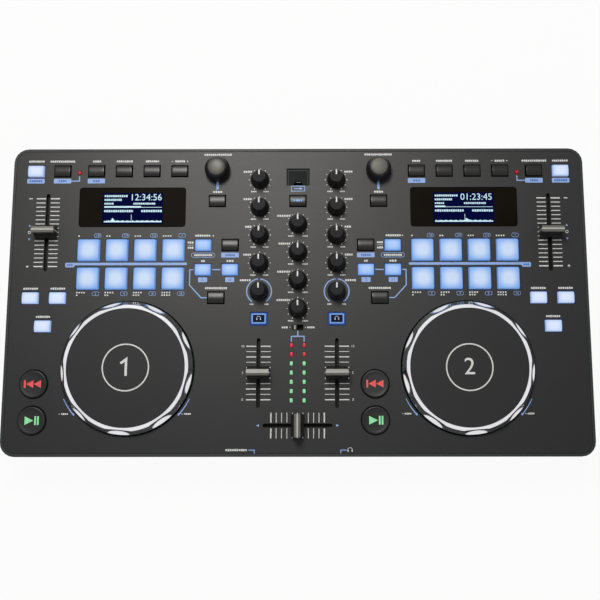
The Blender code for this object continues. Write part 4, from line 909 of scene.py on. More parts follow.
def print_deck_keys(white, blue, deep, side_name, side):
    """Legends and tags round the small keys of one deck."""
    keys = deck_keys(side_name)
    above = LABEL_OFFSET
    (x, y), = keys["key_lock"]
    white.dashes(x, y + above, LABEL_WIDTHS["key_lock"])
    print_tag(blue, deep, x, y, 0.0110)
    (x, y), = keys["bpm_tap"]
    white.dashes(x + side * 0.0006, y + above, LABEL_WIDTHS["bpm_tap"])
    print_tag(blue, deep, x, y, 0.0070)
    track = keys["track"]
    lamp_x = (x + (track[0][0] if side < 0 else track[-1][0])) / 2
    lamp_y = y - LAMP_DROP
    blue.path([(x - side * TAG_WIDTH / 2, y - TAG_OFFSET), (lamp_x, y - TAG_OFFSET),
               (lamp_x, lamp_y - 1.5 * LAMP_RADIUS)], LINE_WIDTH)
    for (key_x, key_y), width in zip(track, LABEL_WIDTHS["track"]):
        white.dashes(key_x, key_y + above, width)
    last_x, last_y = track[-1]
    for step, tall in ((-1, 0.0004), (1, 0.0014)):
        sign_x = last_x + step * 0.0066
        white.bar(sign_x, last_y + above, 0.0014, 0.0004)
        if tall > 0.0004:
            white.bar(sign_x, last_y + above, 0.0004, tall)
    print_tag(blue, deep, *track[0], 0.0060)
    (x, y), = keys["back"]
    white.dashes(x, y + above - 0.0008, LABEL_WIDTHS["back"])
    browse_x, browse_y = middle(side_name + "_browse_knob")
    blue.bar(browse_x, (browse_y + y) / 2 + 0.0003, 0.0021, 0.0075)
    white.dashes(browse_x, browse_y + 0.0141, LABEL_WIDTHS["browse"])
    (x, y), = keys["shift"]
    print_tag(blue, deep, x, y, 0.0080)
    (x, y), = keys["hot_cue"]
    white.dashes(x + side * 0.0006, y + above - 0.0005, LABEL_WIDTHS["hot_cue"])
    white.triangle(x + 0.0086, y + above - 0.0006, 0.0009, math.radians(-90))
    blue.frame(x, y - TAG_OFFSET, 0.0205, TAG_DEPTH, TAG_DEPTH * 0.45, 0.0004)
    white.dashes(x, y - TAG_OFFSET, 0.0155)
    off_x = x - 0.0110
    for step in (1, -1):
        white.dashes(off_x, y + step * 0.0023, 0.0050)
    white.bar(off_x, y, 0.0050, 0.0003)


def print_deck_loops(white, blue, deep, side_name, side):
    """Legends, tags and linking lines of the loop keys, and the mode keys' legends."""
    keys = deck_keys(side_name)
    width = cap_size(side_name + "_back_key")[0]
    left, right = keys["loop"]
    for (x, y), label in ((left, "loop_in"), (right, "loop_out")):
        white.dashes(x, y + 0.0076, LABEL_WIDTHS[label])
        blue.bar(x, y - TAG_OFFSET, SMALL_TAG_WIDTH, TAG_DEPTH, TAG_CORNER)
        deep.text("/2" if label == "loop_in" else "x2", 0.0030, x, y - TAG_OFFSET)
    gap = 0.0004
    line_y = left[1]
    blue.bar((left[0] + right[0]) / 2, line_y, right[0] - left[0] - width - 2 * gap, LINE_WIDTH)
    (reloop_x, reloop_y), = keys["reloop"]
    white.dashes(reloop_x, reloop_y + 0.0083, LABEL_WIDTHS["reloop"])
    outer = left if side < 0 else right
    start_x = outer[0] + side * (width / 2 + gap)
    turn_x = outer[0] + side * 0.0112
    blue.path([(start_x, line_y), (turn_x, line_y), (turn_x, line_y - 0.0134),
               (reloop_x + side * 0.0128, reloop_y),
               (reloop_x + side * (width / 2 + gap), reloop_y)], LINE_WIDTH)
    for (x, y), label in zip(keys["mode"], ("mode", "mode", "reverse")):
        white.dashes(x, y + 0.0081, LABEL_WIDTHS[label])


def print_pads(white, blue, deep, side_name, side):
    """Dots that count the pads, small framed figures, and the long bar between the rows."""
    places = pad_middles(side_name)
    dot, step = 0.0012, 0.0021
    for index, (x, y) in enumerate(places):
        upper = index < PAD_COLUMNS
        edge = PAD_SIZE / 2
        count = index + 1 if upper else PAD_COLUMNS
        dot_y = y + edge + 0.0023 if upper else y - edge - 0.0021
        for dot_index in range(count):
            white.bar(x - edge + 0.0012 + dot_index * step, dot_y, dot, dot)
        if not upper:
            for dot_index in range(index + 1 - PAD_COLUMNS):
                white.bar(x - edge + 0.0012 + dot_index * step, dot_y - 0.0022, dot, dot)
        label_y = y + edge + 0.0027 if upper else y - edge - 0.0030
        blue.frame(x + edge - 0.0030, label_y, 0.0062, 0.0036, 0.0016, 0.0003)
        blue.text(PAD_LABELS[index], 0.0029, x + edge - 0.0030, label_y)
    inner_x = places[-1][0] if side < 0 else places[0][0]
    outer_x = places[0][0] if side < 0 else places[-1][0]
    bar_y = (places[0][1] + places[-1][1]) / 2 + 0.0003
    start, end = inner_x - side * (PAD_SIZE / 2 + 0.0018), outer_x + side * (PAD_SIZE / 2 + 0.0098)
    half, tab_width, tab_drop, corner = 0.0011, 0.0086, 0.0030, 0.0007
    tab_start = end - side * tab_width
    blue.shape([(start, bar_y - half * 0.5), (start, bar_y + half * 0.5),
                (start + side * half * 0.5, bar_y + half), (end - side * corner, bar_y + half),
                (end, bar_y + half - corner), (end, bar_y - tab_drop + corner),
                (end - side * corner, bar_y - tab_drop), (tab_start + side * 2 * corner, bar_y - tab_drop),
                (tab_start, bar_y - half), (start + side * half * 0.5, bar_y - half)])
    deep.dashes(end - side * tab_width * 0.46, bar_y - 0.0009, 0.0048, 0.0016)


def print_pitch(white, blue, side_name, side):
    """The pitch scale with its plain signs."""
    name = side_name + "_pitch_fader"
    x, y = middle(name)
    print_scale(white, name, "y", 17, 0.0102, 0.0022, 0.0007, 0.0010, 0)
    sign_x = x + side * 0.0152
    travel = slide_range(name)[1]
    white.bar(sign_x, y + travel, 0.0032, 0.0008)
    white.bar(sign_x + side * 0.0004, y - travel, 0.0022, 0.0006)
    white.bar(sign_x + side * 0.0004, y - travel, 0.0006, 0.0022)
    white.ring((sign_x, y), 0.0013, 0.0005, 20)
    blue.triangle(sign_x, y + 0.0058, 0.0012, math.radians(90))
    blue.triangle(sign_x, y - 0.0060, 0.0012, math.radians(-90))


def print_jog_marks(white, blue, side_name):
    """Curved lines with arrow heads outside the jog wheel, with neutral legends."""
    x, y = middle(side_name + "_jog_wheel")
    radius = extent(side_name + "_jog_wheel").x / 2 + 0.0030
    for side in (-1, 1):
        start, end = math.radians(270 + side * 64), math.radians(270 + side * 49)
        blue.arc((x, y), radius, 0.0005, start, end, 12, 2.0)
        tip = (x + radius * math.cos(end), y + radius * math.sin(end))
        blue.triangle(tip[0] - side * 0.0004, tip[1] - 0.0002, 0.0013, end - side * math.radians(90))
        white.dashes(x + side * 0.0518, y - 0.0385, 0.0056, 0.0014)
        white.bar(x + side * 0.0518 - 0.0044, y - 0.0385, 0.0012, 0.0004)


def print_mixer(white, blue):
    """Dials, scales, the meter's bracket and the legends of the middle section."""
    for side_name, side in SIDES:
        for name in CHANNEL_KNOBS[:-1]:
            x, y = middle(f"{side_name}_{name}")
            print_dial(white, x, y, 0.0094, 0.0010, 0.0013)
            white.dashes(x + side * 0.0072, y + 0.0073, KNOB_NAME_WIDTHS[name], align=-side)
            for end in (-1, 1):
                white.dashes(x + end * 0.0054, y - 0.0105, 0.0046, 0.0013)
        x, y = middle(side_name + "_filter_knob")
        for turn_side in (-1, 1):
            start, end = (math.radians(90 + turn_side * reach) for reach in (5, 146))
            blue.arc((x, y), 0.0107, 0.0010, start, end, 30)
            white.dashes(x + turn_side * 0.0064, y - 0.0112, 0.0032, 0.0013)
        white.dashes(x + side * 0.0074, y + 0.0096, KNOB_NAME_WIDTHS["filter_knob"], align=-side)
        name = side_name + "_channel_fader"
        print_scale(white, name, "y", 11, 0.0104, 0.0020, 0.0005, 0.0009, 2)
        x, y = middle(name)
        travel = slide_range(name)[1]
        for figure, share in (("10", 1), ("5", 0), ("0", -1)):
            white.text(figure, 0.0030, x + side * 0.0134, y + share * travel)
    for name in CENTRE_KNOBS:
        x, y = middle(name)
        print_dial(white, x, y, 0.0094, 0.0010, 0.0013)
        white.dashes(x - 0.0067, y + 0.0073, KNOB_NAME_WIDTHS[name], align=1)
        for end in (-1, 1):
            white.dashes(x + end * 0.0062, y - 0.0106, 0.0046, 0.0013)
    print_scale(white, "crossfader", "x", 11, 0.0106, 0.0024, 0.0006, 0.0011, 0)
    x, y = middle("crossfader")
    for side in (-1, 1):
        blue.triangle(x + side * 0.0334, y, 0.0014, 0.0 if side > 0 else math.pi)
    door_x, door_y = middle("usb_door")
    icon_y = door_y - 0.0105
    blue.frame(door_x, icon_y, 0.0121, 0.0050, 0.0003, 0.0006)
    blue.path([(door_x - 0.0036, icon_y), (door_x + 0.0018, icon_y)], 0.0008)
    blue.triangle(door_x + 0.0026, icon_y, 0.0014)
    switch_y = middle("meter_switch")[1]
    blue.bar(0, switch_y - 0.0053, LINE_WIDTH, 0.0052)
    blue.path([(-METER_X, METER_TOP + 0.0028), (-METER_X, switch_y - 0.0076), (METER_X, switch_y - 0.0076),
               (METER_X, METER_TOP + 0.0028)], LINE_WIDTH)
    for side in (-1, 1):
        white.dashes(side * 0.0112, switch_y, 0.0062 if side > 0 else 0.0050, 0.0017)
        white.disc(side * 0.0066, switch_y, 0.0004)


def print_front(white, blue):
    """Leads at the front edge to the connectors below them."""
    front = PLATE_LOW.y
    knob_x = middle("mic_volume_knob")[0]
    jack_x = middle("headphone_jack")[0]
    lead, reach = 0.0028, 0.0050
    for x, side in ((knob_x, -1), (jack_x, 1)):
        blue.path([(x, front + 0.0001), (x, front + lead), (x + side * reach, front + lead)],
                  LINE_WIDTH * 0.8)
    white.dashes(knob_x - 0.0152, front + lead, 0.0180)
    add_headphones(white, (jack_x + 0.0078, front + lead), 0.0019)


def add_headphones(sheet, centre, radius):
    """A plain headphone sign: a band over two filled cups."""
    sheet.arc((centre[0], centre[1]), radius, radius * 0.20, 0.0, math.pi, 16)
    for side in (-1, 1):
        sheet.bar(centre[0] + side * radius * 0.88, centre[1] - radius * 0.40, radius * 0.46, radius * 0.85,
                  radius * 0.18)


class PieceOperator:
    """Shared by the operators that make pieces: run make with the scene's look settings."""

    bl_options = {"REGISTER"}

    def execute(self, context):
        self.make(context.scene.controller_look)
        return {"FINISHED"}


class CONTROLLER_OT_shell(PieceOperator, bpy.types.Operator):
    """Finish the faceplate, the case and the circuit board"""

    bl_idname = "controller.shell"
    bl_label = "Faceplate and case"

    def make(self, look):
        colours, sizes = look.colours, look.sizes
        dress_node("faceplate", brushed_plate(tuple(colours.plate)), sizes.edge_bevel)
        shell = moulded("case_shell", tuple(colours.case), 0.52, 1500.0, 0.00006, 0.22)
        dress_node("case", shell, sizes.edge_bevel)
        dress_node("main_board", board_finish())


class CONTROLLER_OT_print(PieceOperator, bpy.types.Operator):
    """Print the legends, scales, tags and lines on the faceplate"""

    bl_idname = "controller.print"
    bl_label = "Faceplate print"

    def make(self, look):
        colours = look.colours
        white, blue = Print(PLATE_TOP), Print(PLATE_TOP)
        deep = Print(PLATE_TOP + PRINT_RISE)
        for side_name, side in SIDES:
            print_deck_keys(white, blue, deep, side_name, side)
            print_deck_loops(white, blue, deep, side_name, side)
            print_pads(white, blue, deep, side_name, side)
            print_pitch(white, blue, side_name, side)
            print_jog_marks(white, blue, side_name)
        print_mixer(white, blue)
        print_front(white, blue)
        white.done("white_print", ink("white_ink", tuple(colours.white_ink)), "root", "brushed_plate")
        blue.done("blue_print", ink("blue_ink", tuple(colours.blue_ink)), "root", "brushed_plate")
        deep.done("tag_marks", ink("deep_ink", tuple(colours.deep_ink)), "root", "brushed_plate")


class CONTROLLER_OT_small_keys(PieceOperator, bpy.types.Operator):
    """Make the lit and unlit small keys"""

    bl_idname = "controller.small_keys"
    bl_label = "Small keys"

    def make(self, look):
        colours, sizes = look.colours, look.sizes
        dark = key_finish_with_painted_side_shade(tuple(colours.dark_key))
        pale = glowing("pale_key_light", tuple(colours.pale_centre), tuple(colours.pale_edge),
                       0.92, 0.85, 4.0)
        blue = glowing("blue_key_light", tuple(colours.key_centre), tuple(colours.key_edge),
                       0.92, 0.80, 3.0)
        for side_name, _ in SIDES:
            keys = deck_keys(side_name)
            for use, node, material, slot in (
                ("key_lock", "key_lock_key", pale, "lit_key"), ("bpm_tap", "bpm_tap_key", dark, "dark_key"),
                ("track", "track_keys", dark, "dark_key"), ("back", "back_key", dark, "dark_key"),
                ("hot_cue", "hot_cue_key", blue, "lit_key"), ("shift", "shift_key", dark, "dark_key"),
                ("loop", "loop_keys", blue, "lit_key"), ("reloop", "loop_keys", dark, "lit_key"),
                ("mode", "mode_keys", pale, "lit_key"),
            ):
                make_key_piece(f"{side_name}_{use}_caps", keys[use], f"{side_name}_{node}", material,
                               sizes)
        make_key_piece("midi_cap", [middle("midi_key")], "midi_key", dark, sizes)
        top = PLATE_TOP + sizes.key_rise
        mark = Print(top)
        x, y = middle("midi_key")
        for index, wide in enumerate((0.0012, 0.0034, 0.0012)):
            mark.bar(x + (index - 1) * 0.0031, y, wide, 0.0017, 0.0004)
        mark.done("midi_mark", lamp("blue_mark_light", tuple(colours.lit_edge), 0.8), "midi_key", "dark_key")


class CONTROLLER_OT_headphone_keys(PieceOperator, bpy.types.Operator):
    """Make the two headphone cue keys with their lit frames and signs"""

    bl_idname = "controller.headphone_keys"
    bl_label = "Headphone cue keys"

    def make(self, look):
        colours, sizes = look.colours, look.sizes
        edge_light = glowing("frame_light", srgb(50, 92, 176), srgb(44, 84, 166), 0.85)
        panel = moulded("frame_panel", srgb(10, 16, 38), 0.50, 2200.0, 0.000012, 0.03)
        bright = lamp("frame_line_light", tinted(colours.lit_edge, 0.86), 0.95)
        sign = lamp("sign_light", tuple(colours.lit_centre), 0.8)
        for side_name, _ in SIDES:
            node = side_name + "_headphone_cue_key"
            x, y = middle(node)
            width, depth = cap_size(node)
            make_key_piece(node + "_cap", [(x, y)], node, edge_light, sizes)
            top = PLATE_TOP + sizes.key_rise
            inset = 0.0008 + CAP_GAP
            panel_width, panel_depth = width - 2 * inset, depth - 2 * inset
            maker = bmesh.new()
            add_slab(maker, rounded(panel_width, panel_depth, 0.0008, 4, 1, (x, y)),
                     top - sizes.key_crown, top + 0.00005)
            add_piece(node + "_panel", maker, panel, node)
            line = Print(top + 0.00005)
            line.frame(x, y, panel_width - 0.0002, panel_depth - 0.0002, 0.0009, 0.0011)
            line.done(node + "_frame", bright, node, "lit_key")
            icon = Print(top + 0.00005)
            add_headphones(icon, (x, y + 0.0002), 0.0017)
            icon.done(node + "_sign", sign, node, "lit_key")


class CONTROLLER_OT_pads(PieceOperator, bpy.types.Operator):
    """Make the lit pads"""

    bl_idname = "controller.pads"
    bl_label = "Pads"

    def make(self, look):
        colours, sizes = look.colours, look.sizes
        light = glowing("pad_light", tuple(colours.lit_centre), tuple(colours.lit_edge), 0.90, 0.74, 2.6)
        for side_name, _ in SIDES:
            node = side_name + "_pads"
            low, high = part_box(node)
            maker = bmesh.new()
            width = PAD_SIZE - 2 * CAP_GAP
            for place in pad_middles(side_name):
                add_cap(maker, place, width, width, PAD_CORNER, high.z - sizes.pad_crown, sizes.pad_bevel,
                        lambda u, v: sizes.pad_crown * (1 - u ** 4) * (1 - v ** 4), low.z)
            add_piece(node + "_caps", maker, light, node, (node,))


class CONTROLLER_OT_round_keys(PieceOperator, bpy.types.Operator):
    """Make the cue and play keys with their lit signs"""

    bl_idname = "controller.round_keys"
    bl_label = "Cue and play keys"

    def make(self, look):
        colours = look.colours
        dark = moulded("round_key", tuple(colours.round_key), 0.36, 2400.0, 0.000012, 0.18)
        black = moulded("round_key_flange", srgb(6, 6, 6), 0.55, 2400.0, 0.000012, 0.05)
        red = lamp("red_sign_light", tuple(colours.cue_light), 0.85)
        green = lamp("green_sign_light", tuple(colours.green_light), 0.85)
        for side_name, _ in SIDES:
            self.make_key(side_name + "_cue_key", dark, black, red, self.draw_skip)
            self.make_key(side_name + "_play_key", dark, black, green, self.draw_play)

    def make_key(self, node, dark, black, light, draw_sign):
        """A slightly dished cap over its dark flange, with a lit sign."""
        low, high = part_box(node)
        x, y = middle(node)
        flange = (high.x - low.x) / 2
        cap = flange - FLANGE - CAP_GAP - 0.0002
        flange_top = PLATE_TOP - FLANGE_DROP
        flange_low = flange_top - FLANGE_THICKNESS
        profile = [(SHAFT_RADIUS, low.z), (SHAFT_RADIUS, flange_low), (flange, flange_low),
                   (flange, flange_top), (cap * 0.5, flange_top)]
        turned_piece(node + "_flange", (x, y), profile, 64, black, node, (node,))
        bevel = 0.0010
        profile = [(cap, flange_top - 0.0002), (cap, high.z - bevel)]
        for step in range(1, 5):
            turn = math.pi / 2 * step / 4
            profile.append((cap - bevel * (1 - math.cos(turn)),
                            high.z - bevel * (1 - math.sin(turn)) - 0.0003))
        dish = ((0.86, 0.00045), (0.6, 0.00055), (0.2, 0.0006))
        profile += [(cap * share, high.z - drop) for share, drop in dish]
        turned_piece(node + "_cap", (x, y), profile, 64, dark, node)
        sign = Print(high.z - 0.00052)
        draw_sign(sign, x, y)
        sign.done(node + "_sign", light, node, "round_key")

    def draw_skip(self, sign, x, y):
        """A back-skip sign: a bar and two arrow heads."""
        sign.bar(x - 0.0068, y, 0.0016, 0.0064)
        for offset in (-0.0025, 0.0040):
            sign.shape([(x + offset - 0.0032, y), (x + offset + 0.0029, y - 0.0032),
                        (x + offset + 0.0029, y + 0.0032)])

    def draw_play(self, sign, x, y):
        """A play triangle and two pause bars."""
        sign.shape([(x - 0.0055, y + 0.0036), (x - 0.0055, y - 0.0036), (x + 0.0018, y)])
        for offset in (0.0034, 0.0057):
            sign.bar(x + offset, y, 0.0015, 0.0072)


class CONTROLLER_OT_knobs(PieceOperator, bpy.types.Operator):
    """Make the fluted knobs with their pointers, and the domed browse knobs"""

    bl_idname = "controller.knobs"
    bl_label = "Knobs"

    def make(self, look):
        names = [f"{side_name}_{knob}" for side_name, _ in SIDES for knob in CHANNEL_KNOBS]
        for name in (*names, *CENTRE_KNOBS):
            self.make_knob(name, look)
        for side_name, _ in SIDES:
            self.make_browse_knob(side_name + "_browse_knob", look)
        self.make_front_knob("mic_volume_knob", look)

    def fluted_ring(self, centre, radius, height, depth, sizes):
        count = sizes.knob_flutes * 4
        points = []
        for index in range(count):
            turn = math.tau * index / count
            reach = radius - depth * (0.5 - 0.5 * math.cos(sizes.knob_flutes * turn))
            points.append((centre[0] + reach * math.cos(turn), centre[1] + reach * math.sin(turn), height))
        return points

    def make_knob(self, name, look):
        sizes, colours = look.sizes, look.colours
        low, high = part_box(name)
        x, y = middle(name)
        base, top = (high.x - low.x) / 2, 0.0053
        skirt_low, skirt_high = PLATE_TOP + KNOB_LIFT, PLATE_TOP + 0.0030
        crest = high.z - POINTER_LIFT
        cone = crest - skirt_high
        deep = sizes.knob_flute_depth
        profile = [(SHAFT_RADIUS, low.z, 0), (SHAFT_RADIUS, skirt_low, 0), (base - 0.0003, skirt_low, 0),
                   (base, skirt_low + 0.0003, 0), (base, skirt_high - 0.0004, 0),
                   (base - 0.0003, skirt_high, 0)]
        for share in (0.05, 0.12, 0.35, 0.6, 0.82, 0.92):
            profile.append((base - 0.0003 + (top + 0.0002 - base) * share, skirt_high + cone * share,
                            deep if 0.1 < share < 0.9 else deep * 0.4))
        profile += [(top + 0.0001, crest - 0.0006, 0), (top - 0.0002, crest - 0.0001, 0)]
        maker = bmesh.new()
        stack(maker, [self.fluted_ring((x, y), *level, sizes) for level in profile])
        rubber = moulded("knob_rubber", tuple(colours.rubber), 0.50, 1900.0, 0.00003, 0.16)
        add_piece(name + "_body", maker, rubber, name, (name,))
        face = moulded("knob_top", tuple(colours.knob_top), 0.60, 2600.0, 0.00002, 0.09)
        profile = [(top - 0.0003, crest - 0.0004), (top - 0.0003, crest - 0.00004), (top - 0.0006, crest),
                   (top * 0.5, crest), (top * 0.1, crest)]
        turned_piece(name + "_top", (x, y), profile, 48, face, name)
        self.make_pointer(name, (x, y), top, crest, look)

    def make_pointer(self, name, centre, top, height, look):
        """A white strip from near the middle of the top, over its edge and a little way down."""
        half, lift, thick = 0.00062, POINTER_LIFT, 0.0005
        path = [(0.0012, height + lift), (top - 0.0005, height + lift), (top + 0.0001, height - 0.0001),
                (top + 0.0009, height - 0.0030)]
        under = [(0.0012, height - thick), (top - 0.0009, height - thick), (top - 0.0003, height - 0.0007),
                 (top + 0.0003, height - 0.0030)]
        outline = path + under[::-1]
        maker = bmesh.new()
        stack(maker, [[(centre[0] + side * half, centre[1] + along, z) for along, z in outline]
                      for side in (-1, 1)])
        white = ink("pointer_paint", tuple(look.colours.white_ink))
        add_piece(name + "_pointer", maker, white, name)

    def make_browse_knob(self, name, look):
        low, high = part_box(name)
        base = (high.x - low.x) / 2
        bottom = PLATE_TOP + KNOB_LIFT
        rise = high.z - bottom
        sides = [(SHAFT_RADIUS, low.z), (SHAFT_RADIUS, bottom), (base - 0.0005, bottom),
                 (base, bottom + 0.0005)]
        shares = ((1.00, 0.22), (1.00, 0.40), (0.985, 0.48), (0.95, 0.58), (0.89, 0.68), (0.82, 0.77),
                  (0.74, 0.855), (0.69, 0.895), (0.66, 0.90))
        sides += [(base * radius, bottom + rise * height) for radius, height in shares]
        rubber = moulded("browse_rubber", tuple(look.colours.rubber), 0.34, 1900.0, 0.00001, 0.25)
        turned_piece(name + "_body", middle(name), sides, 72, rubber, name, (name,))
        dome = [(base * 0.665, bottom + rise * 0.88), (base * 0.665, bottom + rise * 0.905)]
        dome += [(base * 0.66 * math.cos(turn), bottom + rise * (0.915 + 0.085 * math.sin(turn)))
                 for turn in (math.pi / 2 * step / 8 for step in range(8))]
        dome.append((base * 0.02, high.z))
        satin = moulded("browse_top", tuple(look.colours.browse_top), 0.42, 2400.0, 0.00002, 0.2)
        turned_piece(name + "_dome", middle(name), dome, 72, satin, name)

    def make_front_knob(self, name, look):
        """The small knob on the front wall, turned on its side."""
        low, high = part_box(name)
        radius, depth = (high.x - low.x) / 2, high.y - low.y
        grip_start = depth - 0.0032
        profile = [(SHAFT_RADIUS, 0.0), (SHAFT_RADIUS, grip_start), (radius, grip_start),
                   (radius, depth - 0.0006), (radius * 0.93, depth - 0.0001), (radius * 0.3, depth)]
        x, z = middle(name)[0], (low.z + high.z) / 2
        rubber = moulded("knob_rubber", tuple(look.colours.rubber), 0.50, 1900.0, 0.00003, 0.16)
        turned_piece(name + "_body", (0, 0), profile, look.sizes.knob_flutes * 2, rubber, name,
                     (name,), place=Matrix.Translation((x, high.y, z)) @ LIE_FORWARD)
        maker = bmesh.new()
        add_slab(maker, rounded(0.0010, 0.0040, 0.0003, 2, 1, (x, -z - 0.0026)), 0.0, 0.0003)
        place = Matrix.Translation((0, low.y + 0.0002, 0)) @ LIE_FORWARD @ MIRROR_Y
        bmesh.ops.transform(maker, matrix=place, verts=maker.verts)
        paint = ink("pointer_paint", tuple(look.colours.white_ink))
        add_piece(name + "_pointer", maker, paint, name)


class CONTROLLER_OT_faders(PieceOperator, bpy.types.Operator):
    """Make the fader caps with their pale grip bars and index lines"""

    bl_idname = "controller.faders"
    bl_label = "Faders"

    def make(self, look):
        for name in FADERS:
            self.make_fader(name, look)

    def make_fader(self, name, look):
        low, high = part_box(name)
        size = high - low
        along_x = size.x < size.y
        width, length = (size.y, size.x) if along_x else (size.x, size.y)
        bottom, top = PLATE_TOP + 0.0020, high.z
        ridge_half, ridge_low = 0.0027, top - 0.0030
        half = length / 2
        side = [(half, bottom), (half, bottom + 0.0016)]
        for step in range(1, 9):
            share = step / 8
            side.append((half + (ridge_half - 0.0005 - half) * (1 - (1 - share) ** 2.1),
                         bottom + 0.0016 + (ridge_low - bottom - 0.0016) * share))
        outline = side + [(-along, height) for along, height in side[::-1]]
        foot = self.sweep(outline, width / 2, name, along_x)
        stem = [(0.0020, low.z), (0.0020, bottom + 0.0010), (-0.0020, bottom + 0.0010), (-0.0020, low.z)]
        self.add_swept(foot, stem, 0.0006, name, along_x)
        plastic = moulded("fader_foot", tuple(look.colours.fader), 0.40, 2200.0, 0.00002, 0.20)
        body = add_piece(name + "_foot", foot, plastic, name, (name,))
        round_edges(body, 0.0004)
        ridge = []
        for step in range(9):
            share = step / 4 - 1
            ridge.append((ridge_half * share, top - 0.0001 - 0.0005 * share * share))
        ridge = [(-ridge_half, ridge_low)] + ridge + [(ridge_half, ridge_low)]
        maker = self.sweep(ridge, width / 2 + 0.0001, name, along_x)
        finish = ridge_finish(tuple(look.colours.ridge), along_x)
        bar = add_piece(name + "_grip", maker, finish, name)
        round_edges(bar, 0.0003)
        line_half, line_low = 0.00035, top - 0.0012
        outline = [(line_half, line_low), (line_half, top), (-line_half, top), (-line_half, line_low)]
        line = self.sweep(outline, width / 2 + 0.00016, name, along_x)
        end_low, end_high = bottom + 0.0003, top - 0.0010
        outline = [(line_half, end_low), (line_half, end_high), (-line_half, end_high), (-line_half, end_low)]
        for end in (-1, 1):
            self.add_swept(line, outline, 0.00018, name, along_x, end * (width / 2))
        paint = ink("index_paint", tinted(look.colours.white_ink, 0.92))
        add_piece(name + "_line", line, paint, name)

    def sweep(self, outline, half_width, name, along_x):
        maker = bmesh.new()
        self.add_swept(maker, outline, half_width, name, along_x)
        return maker

    def add_swept(self, maker, outline, half_width, name, along_x, shift=0.0):
        """Draw an (along, height) outline across a fader, by half_width to both sides of shift."""
        x, y = middle(name)
        rings = []
        for side in (-1, 1):
            across = shift + side * half_width
            rings.append([(x + along, y + across, height) if along_x else (x + across, y + along, height)
                          for along, height in outline])
        stack(maker, rings)


class CONTROLLER_OT_jogs(PieceOperator, bpy.types.Operator):
    """Make the scalloped chrome rings, the satin discs and their print"""

    bl_idname = "controller.jogs"
    bl_label = "Jog wheels"

    def make(self, look):
        for side_name, side in SIDES:
            self.make_ring(side_name + "_jog_wheel", side, look)
            self.make_disc(side_name + "_jog_wheel", "1" if side < 0 else "2", look)

    def make_ring(self, name, side, look):
        low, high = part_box(name)
        sizes = look.sizes
        centre = middle(name)
        outer, lip_outer, lip_inner = (high.x - low.x) / 2, 0.0530, 0.0500
        rise_low = PLATE_TOP + 0.0012
        start = math.radians(105) if side < 0 else math.radians(75)
        per_scallop = 32
        count = sizes.scallops * per_scallop
        slope_low = PLATE_TOP + (high.z - PLATE_TOP) * 0.40
        rings = []

        def ring(share, radius, height):
            """One level: share runs up the slope from 0 to 1, and None is a level without finger dents."""
            points = []
            for index in range(count):
                turn = start + math.tau * index / count
                off = abs((index / per_scallop + 0.5) % 1 - 0.5) * math.tau / sizes.scallops
                reach = radius
                if share is not None:
                    weight = max(0.0, 1 - (off / sizes.scallop_half_turn) ** 2)
                    dented = outer - (outer - lip_outer + sizes.lip_dip) * (1 - (1 - share) ** 2.4)
                    reach = radius + (dented - radius) * weight
                points.append((centre[0] + reach * math.cos(turn), centre[1] + reach * math.sin(turn),
                               height))
            return points

        rings.append(ring(None, outer - 0.0022, low.z + 0.0065))
        rings.append(ring(None, outer, low.z + 0.0065))
        rings.append(ring(None, outer, rise_low))
        rings.append(ring(None, outer, slope_low - 0.0003))
        steps = 18
        for step in range(1, steps + 1):
            share = step / steps
            rings.append(ring(share, outer - (outer - lip_outer) * share,
                              slope_low + (high.z - 0.00025 - slope_low) * share))
        rings.append(ring(1.0, lip_outer - 0.0002, high.z))
        rings.append(ring(None, lip_inner, high.z))
        creases = (len(rings) - 2, len(rings) - 1)
        rings.append(ring(None, lip_inner, high.z - 0.0034))
        rings.append(ring(None, lip_inner + 0.0006, high.z - 0.0034))
        maker = bmesh.new()
        stack(maker, rings, closed=True)
        chrome = polished("jog_chrome", srgb(226, 226, 229), 0.09)
        piece = add_piece(name + "_ring", maker, chrome, name, (name,), math.radians(60))
        for edge in piece.data.edges:
            first, second = (vertex // count for vertex in edge.vertices)
            if first == second and first in creases:
                edge.use_edge_sharp = True
        level_faces(piece)

    def make_disc(self, name, figure, look):
        low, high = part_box(name)
        x, y = middle(name)
        top = high.z - 0.0004
        radius = 0.0499
        bore, hub = 0.0053, 0.0120
        under = high.z - 0.0030
        profile = [(bore * 0.1, PLATE_TOP + 0.0010), (bore, PLATE_TOP + 0.0010), (bore, low.z), (hub, low.z),
                   (hub, under), (radius, under), (radius, top - 0.0003), (radius - 0.0003, top),
                   (radius * 0.8, top), (radius * 0.5, top), (radius * 0.05, top)]
        satin = disc_finish(tuple(look.colours.jog_disc))
        turned_piece(name + "_disc", (x, y), profile, 128, satin, name)
        sheet = Print(top)
        sheet.ring((x, y), 0.0200, 0.0011, 96)
        if figure == "1":
            sheet.path([(x - 0.0042, y + 0.0034), (x + 0.0004, y + 0.0068), (x + 0.0004, y - 0.0070)], 0.0021)
        else:
            sheet.text(figure, 0.0200, x, y)
        sheet.done(name + "_print", ink("disc_ink", tuple(look.colours.white_ink)), name, "jog_chrome")


